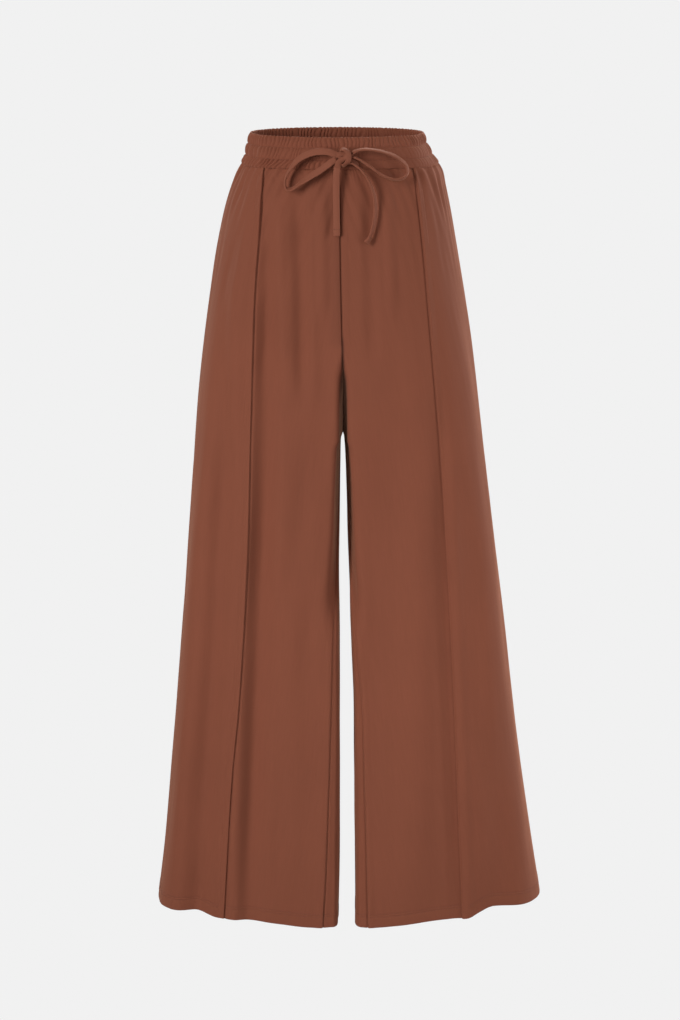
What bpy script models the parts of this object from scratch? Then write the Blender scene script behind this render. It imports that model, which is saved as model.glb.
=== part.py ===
"""Palazzo pants: wide pull-on trousers in their worn shape, open at the waist and at both hems.

The origin is the centre of the waistband's top edge, where a waist holds the garment up.
+Z is up, the front faces -Y, and the wearer's left leg is on the +X side.
Two fronts, two backs and a three-channel waistband are walls of cloth. Each front carries a
stitched pintuck, and a flat drawstring is tied in a bow at the centre front.
"""

import bmesh
import bpy
import numpy as np

MM = 0.001
COLLECTION = "palazzo_pants"

# Cloth and making-up sizes.
CLOTH = 1.2 * MM                 # thickness of the crepe
SEAM_GAP = 0.3 * MM              # between two sewn pieces
HEM_TURN = 20 * MM               # height of the hem's turn-up
HEM_STEP = 0.6 * MM              # height over which the wall thickens into the turn-up

# Heights, measured down from the waistband's top edge at the side.
WAISTBAND = 42 * MM
WAIST_TILT = 0.053               # the waist is lower in front: rise for each metre backwards
TILT_ENDS = 200 * MM
FRONT_SEAM_ENDS = 288 * MM       # where the centre front seam turns under the body
BACK_SEAM_ENDS = 300 * MM
FORK = 411 * MM                  # where the four panels meet between the legs
FORK_Y = 5 * MM
SEAM_CURVE = 1.2                 # how squarely the crotch seam curves under the body
SLIT = 12 * MM                    # between the legs' front faces just above the fork
ROLL = 8 * MM                    # cut off the corner where a front turns to face the other leg
HEM_ROLL = 8 * MM                # more of it at the hem
BACK_ROLL = 26 * MM
LEG_FALL = 6 * MM                # a leg's back is flatter towards its inner edge
CROWN_FADES = 260 * MM           # drop over which the belly's crown fades down a leg
SQUARES_FROM = 60 * MM           # the sections grow flatter and squarer from here
SQUARES_BY = 560 * MM            # to here
HEM_SIDE = 1078 * MM
HEM_INNER = 1092 * MM
HEM_LIFT = {"right": 8 * MM, "left": 16 * MM}    # how much higher the hem hangs at the side
LIFT_FROM = 820 * MM
LIFT_WIDE = 45 * MM              # how far outside the pintuck the lift is whole

# Pintucks, and the waistband's stitched channels as shares of its height.
TUCK_WIDTH = 4 * MM
TUCK_HEIGHT = 2.2 * MM
TUCK_STITCHED = 1.0 * MM         # its height along the stitching
CLEAR = 0.3 * MM                 # from a panel to what lies on it
GROOVES = (0.0, 0.33, 0.72, 1.0)
SWELLS = (1.4 * MM, 2.0 * MM, 1.0 * MM)
BAND_WALL = 1.5 * MM             # half the band's thickness at a groove

# Drawstring: a flat sewn tape.
TAPE_WIDTH = 9 * MM
TAPE_THICK = 3 * MM
KNOT_SIZE = (24 * MM, 15 * MM, 30 * MM)     # the cage, which rounding shrinks by a fifth
KNOT_AT = (9 * MM, -106.5 * MM, -31 * MM)

# The bow, by hand: places (mm) from the knot outwards, and the direction of the tape's width.
ROUTES = {
    "drawstring_loop_right": (
        (-1.5, -107, -28, 0, 0.2, 1), (-15, -108, -24, 0.1, 0.2, 1), (-32, -107, -25, -0.2, 0.3, 1),
        (-50, -105, -33, -0.5, 0.6, 0.6), (-62, -103, -46, -0.3, 1, 0.2), (-69, -103, -60, 0, 1, 0),
        (-68, -104, -71, 0, 1, 0.3), (-60, -106, -72.5, 0.3, 1, 0.6), (-48, -108, -64, 0.4, 0.6, 0.8),
        (-34, -109, -55, 0.4, 0.3, 0.9), (-20, -108.5, -46, 0.4, 0.2, 0.9),
        (-9, -108, -38, 0.4, 0.2, 0.9), (-2.2, -107.5, -34, 0.3, 0.2, 0.9)),
    "drawstring_loop_left": (
        (19.5, -106, -24, 0, 1, 0.2), (32, -107, -21, 0, 1, 0.2), (46, -106, -21.5, 0, 1, 0.2),
        (62, -103, -25, 0, 1, 0.3), (77, -99, -31, 0.2, 1, 0.3), (89, -95, -41, 0.3, 1, 0.2),
        (92, -95, -52, 0.3, 1, 0), (83, -99, -60, 0.3, 1, -0.2), (70, -103, -59.5, 0.2, 1, -0.2),
        (56, -106, -53, 0.1, 1, 0), (42, -107, -43, 0, 1, 0), (29, -107, -34.5, 0, 1, 0),
        (20.5, -106, -31, 0, 1, 0)),
    "drawstring_tail_right": (
        (-0.6, -109.5, -43, 1, 0, 0.1), (-1.7, -110, -56, 1, 0, 0), (-2, -109.5, -72, 1, 0, 0),
        (-1.8, -109, -90, 1, 0, 0), (-1.5, -109, -110, 1, 0, 0), (-1.2, -109, -134, 1, 0, 0)),
    "drawstring_tail_left": (
        (20, -107, -39.5, 0, 1, 0), (29, -108.5, -46, 0, 1, 0), (38, -109.5, -57, 0, 1, 0),
        (44.5, -109.5, -70, 0, 1, 0), (48.5, -109.5, -83, 0, 1, 0), (49.8, -109, -97, 0, 1, 0),
        (49, -109, -111, 0, 1, 0), (46.6, -109, -124, 0, 1, 0), (43.6, -109.3, -133, 0.1, 1, 0.1),
        (41.2, -109.6, -138.5, 0.5, 0.8, 0.4), (37.5, -109.6, -143.5, 0.7, 0.5, -0.6)),
}

# Mesh density.
COLUMNS = 7                      # each side of the pintuck, and each half of a back
ROWS_BODY, ROWS_FORK, ROWS_LEG = 8, 5, 9
RING_COLUMNS = 12                # round each quarter of the waistband
CHANNEL_ROWS = 3
PATH_STEPS = 20


class Table:
    """Rows of named columns in millimetres, read at any drop by a curve that never overshoots."""

    def __init__(self, columns, *rows):
        self.column = dict(zip(columns.split(), np.array(rows, dtype=float).T * MM))

    def at(self, name, drop):
        x, y = self.column["drop"], self.column[name]
        step = np.diff(x)
        rise = np.diff(y) / step
        slope = np.concatenate([rise[:1], np.zeros(len(x) - 2), rise[-1:]])
        near, far = rise[:-1], rise[1:]
        same = near * far > 0
        spread = step[:-1] + step[1:]
        near_share = (spread + step[1:])[same] / near[same]
        far_share = (spread + step[:-1])[same] / far[same]
        slope[1:-1][same] = 3 * spread[same] / (near_share + far_share)
        drop = np.clip(drop, x[0], x[-1])
        i = np.clip(np.searchsorted(x, drop, side="right") - 1, 0, len(x) - 2)
        t = (drop - x[i]) / step[i]
        bend = step[i] * t * (1 - t) * (slope[i] * (1 - t) - slope[i + 1] * t)
        return y[i] + (y[i + 1] - y[i]) * smooth_step(t) + bend


# The outline at the side seams, by drop.
SIDE = Table("drop right left y",
             (0, -116, 113.8, 0),
             (14, -119.2, 117, 0),
             (28, -121.6, 124, 0),
             (36, -124.4, 129.5, 0),
             (42, -128.6, 135, 0),
             (54, -136, 142, 1),
             (70, -142.6, 145.6, 1),
             (110, -154.5, 153.7, 2),
             (170, -166.5, 164.5, 4),
             (260, -180, 179, 6),
             (345, -190, 190.5, 8),
             (450, -198.5, 203, 9),
             (600, -209.5, 222, 12),
             (800, -227, 246.5, 18),
             (1000, -245, 273.5, 24),
             (1078, -254.5, 286, 26))

# The front: the free edge of each pintuck, the depth there, and the centre front.
FRONT = Table("drop right left y centre centre_y",
              (0, -84, 88, -61, 2, -86),
              (42, -97, 100.5, -75, 2, -97),
              (110, -102.5, 109.5, -88, 3, -104),
              (230, -111, 121, -96, 5, -106),
              (330, -114.5, 130, -99, 7, -104),
              (430, -117.5, 138.5, -98, 7, -104),
              (545, -121, 146, -94, 7, -104),
              (760, -134, 158, -90, 7, -104),
              (880, -145.5, 163.5, -88, 7, -104),
              (1078, -158, 172.5, -87, 7, -104))

# The back: the fullest point of each half, and the centre back.
BACK = Table("drop y centre_y",
             (0, 73, 84),
             (42, 84, 92),
             (110, 103, 107),
             (200, 121, 118),
             (290, 120, 113),
             (345, 113, 108),
             (450, 100, 108),
             (600, 88, 108),
             (800, 79, 108),
             (1078, 75, 108))

# Below the fork: each leg's inner edge, and how far the inseam lies in front of it.
INNER = Table("drop right left y right_wrap left_wrap wrap_y",
              (411, 5.9, 7.9, 5, 0, 0, 0),
              (422, 3.9, 9.3, 4, 0.2, 0.2, 4),
              (450, 3.3, 10.9, 3, 1, 1, 12),
              (500, 2.7, 12.7, 2, 2, 2, 26),
              (600, 1.5, 15.8, 0, 4.5, 3.5, 60),
              (690, 2.2, 19.0, -2, 8.4, 5.7, 86),
              (790, 2.8, 22.2, -3, 11.4, 11, 84),
              (904, 2.4, 23.4, -5, 14.6, 13, 81),
              (1000, 2.0, 24.3, -7, 17.5, 15, 78),
              (1092, 0.2, 24.3, -10, 20.7, 17, 75))

# How a back wraps round a leg's inner edge onto its front.
FULL_WRAP = 86 * MM
WRAP_TURN = np.radians(50)       # how far the inseam's edge turns from facing the other leg
NOSE_ROLL = 8 * MM               # the corner of a back where it wraps onto the front of a leg
NOSE_BACK = 24 * MM              # and how far back that corner's curve reaches

# The largest folds of the cloth: leg, face, drop at the top and bottom, x at each, half width,
# and height (a trough is below 0).
FOLDS = (
    ("right", "front", 50, 380, -51, -46, 22, -6.0),
    ("right", "front", 60, 1150, -88, -118, 24, -7.6),
    ("right", "front", 300, 960, -78, -56, 34, 3.4),
    ("right", "front", 400, 1300, -148, -200, 34, -8.5),
    ("left", "front", 380, 1150, 112, 106, 38, 6.0),
    ("left", "front", 760, 1300, 222, 228, 34, -6),
    ("right", "back", 330, 1300, -150, -196, 30, -6.0),
    ("right", "back", 380, 1300, -84, -104, 30, 3.4),
    ("right", "back", 420, 1300, -50, -68, 24, -5.0),
    ("left", "back", 340, 1300, 158, 214, 30, -6.0),
    ("left", "back", 400, 1300, 96, 130, 30, 3.4),
    ("left", "back", 440, 1300, 60, 84, 24, -5.0),
)
HELD = 14 * MM                   # folds fade out this close to a seam


def smooth_step(t):
    t = np.clip(t, 0, 1)
    return t * t * (3 - 2 * t)


def bezier(*corners):
    """A cubic curve for each row from its four corners, each given as an (x, y) pair."""
    p0, p1, p2, p3 = (np.stack(np.broadcast_arrays(*corner), -1)[:, None] for corner in corners)
    t = np.linspace(0, 1, PATH_STEPS)[None, :, None]
    return p0 * (1 - t) ** 3 + 3 * p1 * t * (1 - t) ** 2 + 3 * p2 * t ** 2 * (1 - t) + p3 * t ** 3


def back_share(t):
    """How far back the crotch seam has curved at t of its drop: 0 to 1, steeper and steeper."""
    t = np.clip(t, 0, 1) ** SEAM_CURVE
    return 1 - (1 - t) ** (1 / SEAM_CURVE)


def inner_end(leg, drop, face):
    """The inner end of each row of a panel: its place, its drop, and its straight seam's y.

    Below the straight centre seam the end curves under the body to the fork, and from there
    goes down the inside of the leg.
    """
    table, ends = (FRONT, FRONT_SEAM_ENDS) if face == "front" else (BACK, BACK_SEAM_ENDS)
    on_leg = drop >= FORK
    leg_share = np.maximum(drop - FORK, 0) / (HEM_SIDE - FORK)
    end_drop = drop + (HEM_INNER - HEM_SIDE) * leg_share
    seam_y = table.at("centre_y", np.minimum(drop, ends))
    under = back_share((drop - ends) / (FORK - ends))
    gap = SEAM_GAP / 2 * (1 if leg == "left" else -1)
    x = np.where(on_leg, INNER.at(leg, end_drop), FRONT.at("centre", end_drop) + gap)
    y = np.where(on_leg, INNER.at("y", end_drop), seam_y + (FORK_Y - seam_y) * under)
    return x, y, end_drop, seam_y


def corner_path(start, slope, across, corner, end, roll, roll_back=None):
    """A section from start to end round a soft corner, and the corner's own point.

    A cubic leaves start at its slope and comes level to the corner; a second one turns the
    corner, cutting roll off before it and roll_back after it; the last runs straight to the end.
    """
    (start_x, start_y), (corner_x, corner_y), (end_x, end_y) = start, corner, end
    far = np.maximum(np.hypot(end_x - corner_x, end_y - corner_y), 1e-9)
    cut = np.minimum(roll, 0.9 * far)
    cut_back = cut if roll_back is None else np.minimum(roll_back, 0.9 * far)
    out_x, out_y = (end_x - corner_x) / far, (end_y - corner_y) / far
    before = corner_x - np.sign(across) * cut, corner_y + 0 * cut
    after = corner_x + out_x * cut_back, corner_y + out_y * cut_back
    third = (before[0] - start_x) / 3
    level = bezier((start_x, start_y), (start_x + third, start_y + third * slope),
                   (before[0] - third, corner_y), before)
    turn = bezier(before, (before[0] + 0.62 * (corner_x - before[0]), corner_y),
                  (after[0] - 0.62 * out_x * cut_back, after[1] - 0.62 * out_y * cut_back), after)
    step_x, step_y = (end_x - after[0]) / 3, (end_y - after[1]) / 3
    run = bezier(after, (after[0] + step_x, after[1] + step_y),
                 (end_x - step_x, end_y - step_y), (end_x, end_y))
    return np.concatenate([level, turn[:, 1:], run[:, 1:]], axis=1)


def front_path(leg, drop):
    """The front's section at each side drop: side seam to pintuck, then pintuck to inner end."""
    inward = 1 if leg == "right" else -1
    side_x, side_y = SIDE.at(leg, drop), SIDE.at("y", drop)
    tuck_x, tuck_y = FRONT.at(leg, drop), FRONT.at("y", drop)
    edge_x, edge_y, end_drop, seam_y = inner_end(leg, drop, "front")
    wrap = INNER.at("wrap_y", end_drop)
    end_x, end_y = edge_x - inward * INNER.at(leg + "_wrap", end_drop), edge_y - wrap
    lean = np.tan(WRAP_TURN * (wrap / FULL_WRAP) ** 6)
    crown = 1 - smooth_step((drop - FRONT_SEAM_ENDS) / CROWN_FADES)
    corner_y = tuck_y + (seam_y - tuck_y) * crown
    back = np.maximum(end_y - corner_y, 0)
    corner_x = end_x - inward * (lean * back + SLIT / 2 * smooth_step(back / (24 * MM)))
    slope = 2 * inward * (corner_y - tuck_y) / abs(corner_x - tuck_x)
    depth, width = side_y - tuck_y, abs(side_x - tuck_x)
    square = smooth_step((drop - SQUARES_FROM) / (SQUARES_BY - SQUARES_FROM))
    flat = (0.45 + 0.35 * square) * width
    outer = bezier((side_x, side_y), (side_x, side_y - (0.52 + 0.36 * square) * depth),
                   (tuck_x - inward * flat, tuck_y - flat * inward * slope), (tuck_x, tuck_y))
    roll = ROLL + HEM_ROLL * smooth_step((drop - FORK) / (HEM_SIDE - FORK))
    inner = corner_path((tuck_x, tuck_y), slope, corner_x - tuck_x, (corner_x, corner_y),
                        (end_x, np.maximum(end_y, corner_y)), roll)
    return outer, inner, end_drop


def back_path(leg, drop):
    """The back's section at each side drop: side seam to fullest point, then to the inner end."""
    inward = 1 if leg == "right" else -1
    side_x, side_y = SIDE.at(leg, drop), SIDE.at("y", drop)
    edge_x, edge_y, end_drop, seam_y = inner_end(leg, drop, "back")
    full_x, full_y = (side_x + edge_x) / 2, BACK.at("y", drop)
    wrap = INNER.at("wrap_y", end_drop)
    end_x, end_y = edge_x - inward * INNER.at(leg + "_wrap", end_drop), edge_y - wrap
    crown = 1 - smooth_step((drop - BACK_SEAM_ENDS) / CROWN_FADES)
    corner_y = full_y - LEG_FALL * (1 - crown) + (seam_y - full_y) * crown
    forward = np.maximum(corner_y - edge_y, 0)
    corner_x = edge_x - inward * SLIT / 2 * smooth_step(forward / (10 * MM))
    slope = 2 * inward * (corner_y - full_y) / abs(corner_x - full_x)
    depth, width = full_y - side_y, abs(full_x - side_x)
    square = smooth_step((drop - SQUARES_FROM) / (SQUARES_BY - SQUARES_FROM))
    flat = (0.5 + 0.25 * square) * width
    outer = bezier((side_x, side_y), (side_x, side_y + (0.55 + 0.25 * square) * depth),
                   (full_x - inward * flat, full_y - flat * inward * slope), (full_x, full_y))
    inner = corner_path((full_x, full_y), slope, corner_x - full_x, (corner_x, corner_y),
                        (edge_x, np.minimum(edge_y, corner_y)), BACK_ROLL)
    width = np.maximum(abs(edge_x - end_x), 1e-6)
    nose = corner_path((end_x, end_y), 0, edge_x - end_x, (edge_x, end_y + np.minimum(2 * MM, wrap / 2)),
                       (edge_x, edge_y), np.minimum(NOSE_ROLL, 0.8 * width), NOSE_BACK)
    return outer, np.concatenate([inner, nose[:, -2::-1]], axis=1), end_drop


def along(path, stations):
    """Points of each row's path at the given distances from its start."""
    lengths = np.linalg.norm(np.diff(path, axis=1), axis=2)
    reached = np.concatenate([np.zeros((len(path), 1)), np.cumsum(lengths, axis=1)], axis=1)
    rows = [[np.interp(stations(at[-1]), at, line[:, k]) for k in range(2)]
            for at, line in zip(reached, path)]
    return np.array(rows).transpose(0, 2, 1)


def height(points, drop, end_drop, share, lift=0):
    """Adds z: each row runs from its side drop to its inner end's drop, and the waist tilts.

    lift is how much higher each point hangs at the hem; it fades away up the leg.
    """
    level = drop[:, None] + (end_drop - drop)[:, None] * smooth_step(share)
    level = level - lift * smooth_step((drop - LIFT_FROM) / (HEM_SIDE - LIFT_FROM))[:, None]
    fade = 1 - smooth_step(drop / TILT_ENDS)[:, None]
    return np.concatenate([points, (WAIST_TILT * fade * points[..., 1] - level)[..., None]], axis=2)


def fold_heights(leg, face, drop, x):
    """How far the folds move the cloth out (above 0) or in: a squared cosine across each fold.

    Each fold runs straight from its x at the top to its x at the bottom, and fades in and out
    over a quarter of its length.
    """
    total = np.zeros(x.shape)
    for owner, side, top, bottom, x_top, x_bottom, half_width, rise in FOLDS:
        if (owner, side) == (leg, face):
            t = ((drop - top * MM) / ((bottom - top) * MM))[:, None]
            across = (x - (x_top + (x_bottom - x_top) * t) * MM) / (half_width * MM)
            fade = smooth_step(t / 0.25) * smooth_step((1 - t) / 0.25)
            total += rise * MM * fade * np.cos(np.clip(across, -1, 1) * np.pi / 2) ** 2
    return total


def held(grid):
    """0 along a panel's two seams and 1 away from them, so that the folds stop at the seams."""
    steps = np.linalg.norm(np.diff(grid, axis=1), axis=2)
    reached = np.concatenate([np.zeros((len(grid), 1)), np.cumsum(steps, axis=1)], axis=1)
    return smooth_step(np.minimum(reached, reached[:, -1:] - reached) / HELD)


def front_panel(leg, drop):
    """Grid of a front's points from the side seam to its inner edge, with the pintuck's columns."""
    outer, inner, end_drop = front_path(leg, drop)
    gap = SEAM_GAP / 2
    steps = np.linspace(0, 1, COLUMNS)
    first = along(outer, lambda length: gap + (length - TUCK_WIDTH - gap) * steps)
    second = along(inner, lambda length: (length - gap) * np.linspace(0, 1, COLUMNS))
    points = np.concatenate([first, second], axis=1)
    length = np.linalg.norm(np.diff(outer, axis=1), axis=2).sum(axis=1)[:, None]
    outside_tuck = np.maximum(length - gap - (length - TUCK_WIDTH - gap) * steps, 0)
    lift = HEM_LIFT[leg] * smooth_step(np.concatenate([outside_tuck, 0 * outside_tuck], 1) / LIFT_WIDE)
    return height(points, drop, end_drop, np.concatenate([0 * steps, steps]), lift)


def back_panel(leg, drop):
    """Grid of a back's points from the side seam to its inner edge."""
    outer, inner, end_drop = back_path(leg, drop)
    gap = SEAM_GAP / 2
    share = np.linspace(0, 1, 2 * COLUMNS)
    path = np.concatenate([outer, inner[:, 1:]], axis=1)
    points = along(path, lambda length: gap + (length - 2 * gap) * share)
    length = np.linalg.norm(np.diff(path, axis=1), axis=2).sum(axis=1)[:, None]
    lift = HEM_LIFT[leg] * smooth_step((0.35 - share) * length / LIFT_WIDE)
    return height(points, drop, end_drop, (share - 0.35) / 0.65, lift)


def outward(grid, side, over_start=None, over_end=None):
    """Unit normals out of the garment; over_start and over_end are points across the seams."""
    start = 2 * grid[:, 0] - grid[:, 1] if over_start is None else over_start
    end = 2 * grid[:, -1] - grid[:, -2] if over_end is None else over_end
    wide = np.concatenate([start[:, None], grid, end[:, None]], axis=1)
    normal = side * np.cross(np.gradient(grid, axis=0), wide[:, 2:] - wide[:, :-2])
    return normal / np.linalg.norm(normal, axis=2, keepdims=True)


def panels(drop):
    """Every panel's points and outward normals, which two sewn edges share."""
    grids = {(leg, face): make(leg, drop) for leg in ("right", "left")
             for face, make in (("front", front_panel), ("back", back_panel))}
    for (leg, face), grid in grids.items():
        side = 1 if (leg == "right") == (face == "front") else -1
        folds = held(grid) * fold_heights(leg, face, drop, grid[..., 0])
        grids[leg, face] = grid + outward(grid, side) * folds[..., None]
    shapes = {}
    for (leg, face), grid in grids.items():
        side = 1 if (leg == "right") == (face == "front") else -1
        other_leg = "left" if leg == "right" else "right"
        other_face = "back" if face == "front" else "front"
        ends = FRONT_SEAM_ENDS if face == "front" else BACK_SEAM_ENDS
        on_leg, on_body = (drop > FORK)[:, None], (drop <= ends)[:, None]
        over_end = np.where(on_leg, grids[leg, other_face][:, -2], 2 * grid[:, -1] - grid[:, -2])
        over_end = np.where(on_body, grids[other_leg, face][:, -2], over_end)
        over_start = grids[leg, other_face][:, 1]
        shapes[leg, face] = grid, outward(grid, side, over_start, over_end)
    return shapes


def new_object(name, points, faces, material):
    """Adds one closed body to the part's collection, with its faces turned out."""
    mesh = bpy.data.meshes.new(name)
    mesh.from_pydata(points.tolist(), [], faces)
    shell = bmesh.new()
    shell.from_mesh(mesh)
    bmesh.ops.recalc_face_normals(shell, faces=shell.faces)
    shell.to_mesh(mesh)
    shell.free()
    mesh.materials.append(material)
    mesh.shade_smooth()
    mesh.set_sharp_from_angle(angle=np.radians(50))
    made = bpy.data.objects.new(name, mesh)
    bpy.data.collections[COLLECTION].objects.link(made)
    return made


def strip(rows, columns, closed):
    """Quads of a grid numbered row by row; closed joins the last column to the first."""
    last = columns if closed else columns - 1
    return [(r * columns + c, r * columns + (c + 1) % columns,
             (r + 1) * columns + (c + 1) % columns, (r + 1) * columns + c)
            for r in range(rows - 1) for c in range(last)]


def wall(name, outside, inside, material):
    """A wall of cloth between two grids of the same size.

    Both skins split each square of the grid along the same diagonal, the outside's shorter one,
    so that they never pass through each other where the cloth twists.
    """
    rows, columns = outside.shape[:2]
    around = 2 * columns
    loop = np.concatenate([outside, inside[:, ::-1]], axis=1)
    falls = np.linalg.norm(outside[1:, 1:] - outside[:-1, :-1], axis=2)
    rises = np.linalg.norm(outside[:-1, 1:] - outside[1:, :-1], axis=2)
    faces = []
    for r in range(rows - 1):
        for c in range(columns - 1):
            for near, far in ((c, c + 1), (around - 1 - c, around - 2 - c)):
                a, b = r * around + near, r * around + far
                if falls[r, c] < rises[r, c]:
                    faces += [(a, b, b + around), (a, b + around, a + around)]
                else:
                    faces += [(a, b, a + around), (b, b + around, a + around)]
        for near, far in ((columns - 1, columns), (around - 1, 0)):
            a, b = r * around + near, r * around + far
            faces.append((a, b, b + around, a + around))
    for row in (0, rows - 1):
        first = row * around
        faces += [(first + c, first + c + 1, first + around - 2 - c, first + around - 1 - c)
                  for c in range(columns - 1)]
    return new_object(name, loop.reshape(-1, 3), faces, material)


def panel_rows():
    """Side drops of the panels' rows, with two close rows where the hem's turn-up begins."""
    top, turn_up = WAISTBAND + SEAM_GAP, HEM_SIDE - HEM_TURN
    turn = np.linspace(0, np.pi / 2, ROWS_FORK, endpoint=False)
    return np.concatenate([np.linspace(top, FRONT_SEAM_ENDS, ROWS_BODY, endpoint=False),
                           FRONT_SEAM_ENDS + (FORK - FRONT_SEAM_ENDS) * np.sin(turn),
                           np.linspace(FORK, turn_up - HEM_STEP, ROWS_LEG),
                           [turn_up, HEM_SIDE]])


def make_panels(material):
    """The fronts and backs, and the pintucks that lie on the fronts."""
    drop = panel_rows()
    turned_up = drop >= HEM_SIDE - HEM_TURN
    thickness = np.where(turned_up, 2 * CLOTH, CLOTH)[:, None, None]
    for (leg, face), (grid, normal) in panels(drop).items():
        wall(f"{face}_{leg}", grid, grid - thickness * normal, material)
        if face == "front":
            tuck = slice(COLUMNS - 1, COLUMNS + 1)
            base = grid[:, tuck] + CLEAR * normal[:, tuck]
            rise = np.array([TUCK_STITCHED, TUCK_HEIGHT])[None, :, None]
            wall(f"pintuck_{leg}", base + rise * normal[:, tuck], base, material)


def band_ring(drop):
    """Closed rings round the waist, one for each drop, from the centre back and round."""
    quarters = []
    for leg in ("right", "left"):
        for path in (back_path, front_path) if leg == "right" else (front_path, back_path):
            outer, inner, end_drop = path(leg, drop)
            line = np.concatenate([outer, inner[:, 1:]], axis=1)
            toward_centre = (leg == "right") == (path is front_path)
            line = line if toward_centre else line[:, ::-1]
            steps = np.linspace(0, 1, RING_COLUMNS, endpoint=False)
            points = along(line, lambda length: length * steps)
            quarters.append(height(points, drop, end_drop, steps * 0))
    return np.concatenate(quarters, axis=1)


def make_waistband(material):
    """The gathered band: three stitched channels, each swelling outward and a little inward.

    The wall's thickness is level, so the band's lower edge stays above the panels.
    """
    top, bottom = np.array(GROOVES[:-1]), np.array(GROOVES[1:])
    steps = np.linspace(0, 1, CHANNEL_ROWS, endpoint=False)
    share = np.append((top[:, None] + (bottom - top)[:, None] * steps).ravel(), 1.0)
    swell = np.append((np.array(SWELLS)[:, None] * np.sin(np.pi * steps)).ravel(), 0.0)
    drop = share * WAISTBAND
    ring = band_ring(drop)
    wrapped = np.concatenate([ring[:, -1:], ring, ring[:, :1]], axis=1)
    normal = np.cross(np.gradient(ring, axis=0), wrapped[:, 2:] - wrapped[:, :-2])
    normal[..., 2] = 0
    normal /= np.linalg.norm(normal, axis=2, keepdims=True)
    outside = ring + normal * (BAND_WALL + swell)[:, None, None]
    inside = ring - normal * (BAND_WALL + 0.5 * swell)[:, None, None]
    tube = np.concatenate([outside, inside[::-1], outside[:1]], axis=0)
    rows, columns = len(tube) - 1, ring.shape[1]
    faces = strip(rows + 1, columns, closed=True)
    faces = [tuple(i % (rows * columns) for i in face) for face in faces]
    return new_object("waistband", tube[:-1].reshape(-1, 3), faces, material)


def smooth_route(route, per_step=3):
    """A curve through hand-placed points (Catmull-Rom), with steps between each two."""
    points = np.array(route, dtype=float)
    ends = np.concatenate([2 * points[:1] - points[1:2], points, 2 * points[-1:] - points[-2:-1]])
    p0, p1, p2, p3 = (ends[k:len(ends) - 3 + k, None] for k in range(4))
    t = np.linspace(0, 1, per_step, endpoint=False)[None, :, None]
    curve = 0.5 * (2 * p1 + (p2 - p0) * t + (2 * p0 - 5 * p1 + 4 * p2 - p3) * t ** 2
                   + (3 * p1 - p0 - 3 * p2 + p3) * t ** 3)
    return np.concatenate([curve.reshape(-1, points.shape[1]), points[-1:]])


def make_tape(name, route, material):
    """A flat tape along a route of places and width directions, its corners cut off."""
    line = smooth_route(route)
    centre, wide = line[:, :3] * MM, line[:, 3:]
    tangent = np.gradient(centre, axis=0)
    tangent /= np.linalg.norm(tangent, axis=1, keepdims=True)
    wide = wide - np.sum(wide * tangent, axis=1, keepdims=True) * tangent
    wide /= np.linalg.norm(wide, axis=1, keepdims=True)
    thick = np.cross(tangent, wide)
    half, thin, corner = TAPE_WIDTH / 2, TAPE_THICK / 2, TAPE_THICK / 4
    outline = [(half, thin - corner), (half - corner, thin), (corner - half, thin),
               (-half, thin - corner), (-half, corner - thin), (corner - half, -thin),
               (half - corner, -thin), (half, corner - thin)]
    points = np.stack([centre + a * wide + b * thick for a, b in outline], axis=1)
    rows, columns = points.shape[:2]
    faces = strip(rows, columns, closed=True)
    faces += [tuple(range(columns)), tuple(range((rows - 1) * columns, rows * columns))]
    return new_object(name, points.reshape(-1, 3), faces, material)


def make_bow(material):
    """The drawstring's bow: a rounded knot, and a tape for each loop and tail."""
    for name, route in ROUTES.items():
        make_tape(name, route, material)
    bpy.ops.mesh.primitive_cube_add(size=1, location=KNOT_AT)
    knot = bpy.context.object
    knot.name = knot.data.name = "drawstring_knot"
    knot.scale = KNOT_SIZE
    bpy.ops.object.transform_apply(location=False, rotation=False, scale=True)
    rounding = knot.modifiers.new("Rounding", "SUBSURF")
    rounding.levels = rounding.render_levels = 2
    knot.data.materials.append(material)
    knot.data.shade_smooth()
    bpy.context.collection.objects.unlink(knot)
    bpy.data.collections[COLLECTION].objects.link(knot)


def make_material(name, colour, roughness):
    """A plain cloth finish; the colour is given as it looks on a screen."""
    material = bpy.data.materials.new(name)
    material.use_nodes = True
    shader = material.node_tree.nodes["Principled BSDF"]
    linear = [((c + 0.055) / 1.055) ** 2.4 for c in colour]
    shader.inputs["Base Color"].default_value = (*linear, 1.0)
    shader.inputs["Roughness"].default_value = roughness
    shader.inputs["Metallic"].default_value = 0.0
    return material


def main():
    for old in list(bpy.data.objects):
        bpy.data.objects.remove(old)
    collection = bpy.data.collections.new(COLLECTION)
    bpy.context.scene.collection.children.link(collection)
    crepe = make_material("crepe", (0.49, 0.29, 0.22), 0.85)
    tape = make_material("tape", (0.53, 0.33, 0.26), 0.75)
    make_panels(crepe)
    make_waistband(crepe)
    make_bow(tape)


main()
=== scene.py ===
"""Palazzo pants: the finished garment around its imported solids.

Every surface is worked out with numpy from the garment's own sizes, in metres, in the solids'
frame: the origin is the centre of the waistband's top edge, +Z is up and the front faces -Y.
"Right" and "left" are the wearer's. Tables give millimetres.
"""

import math

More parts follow.
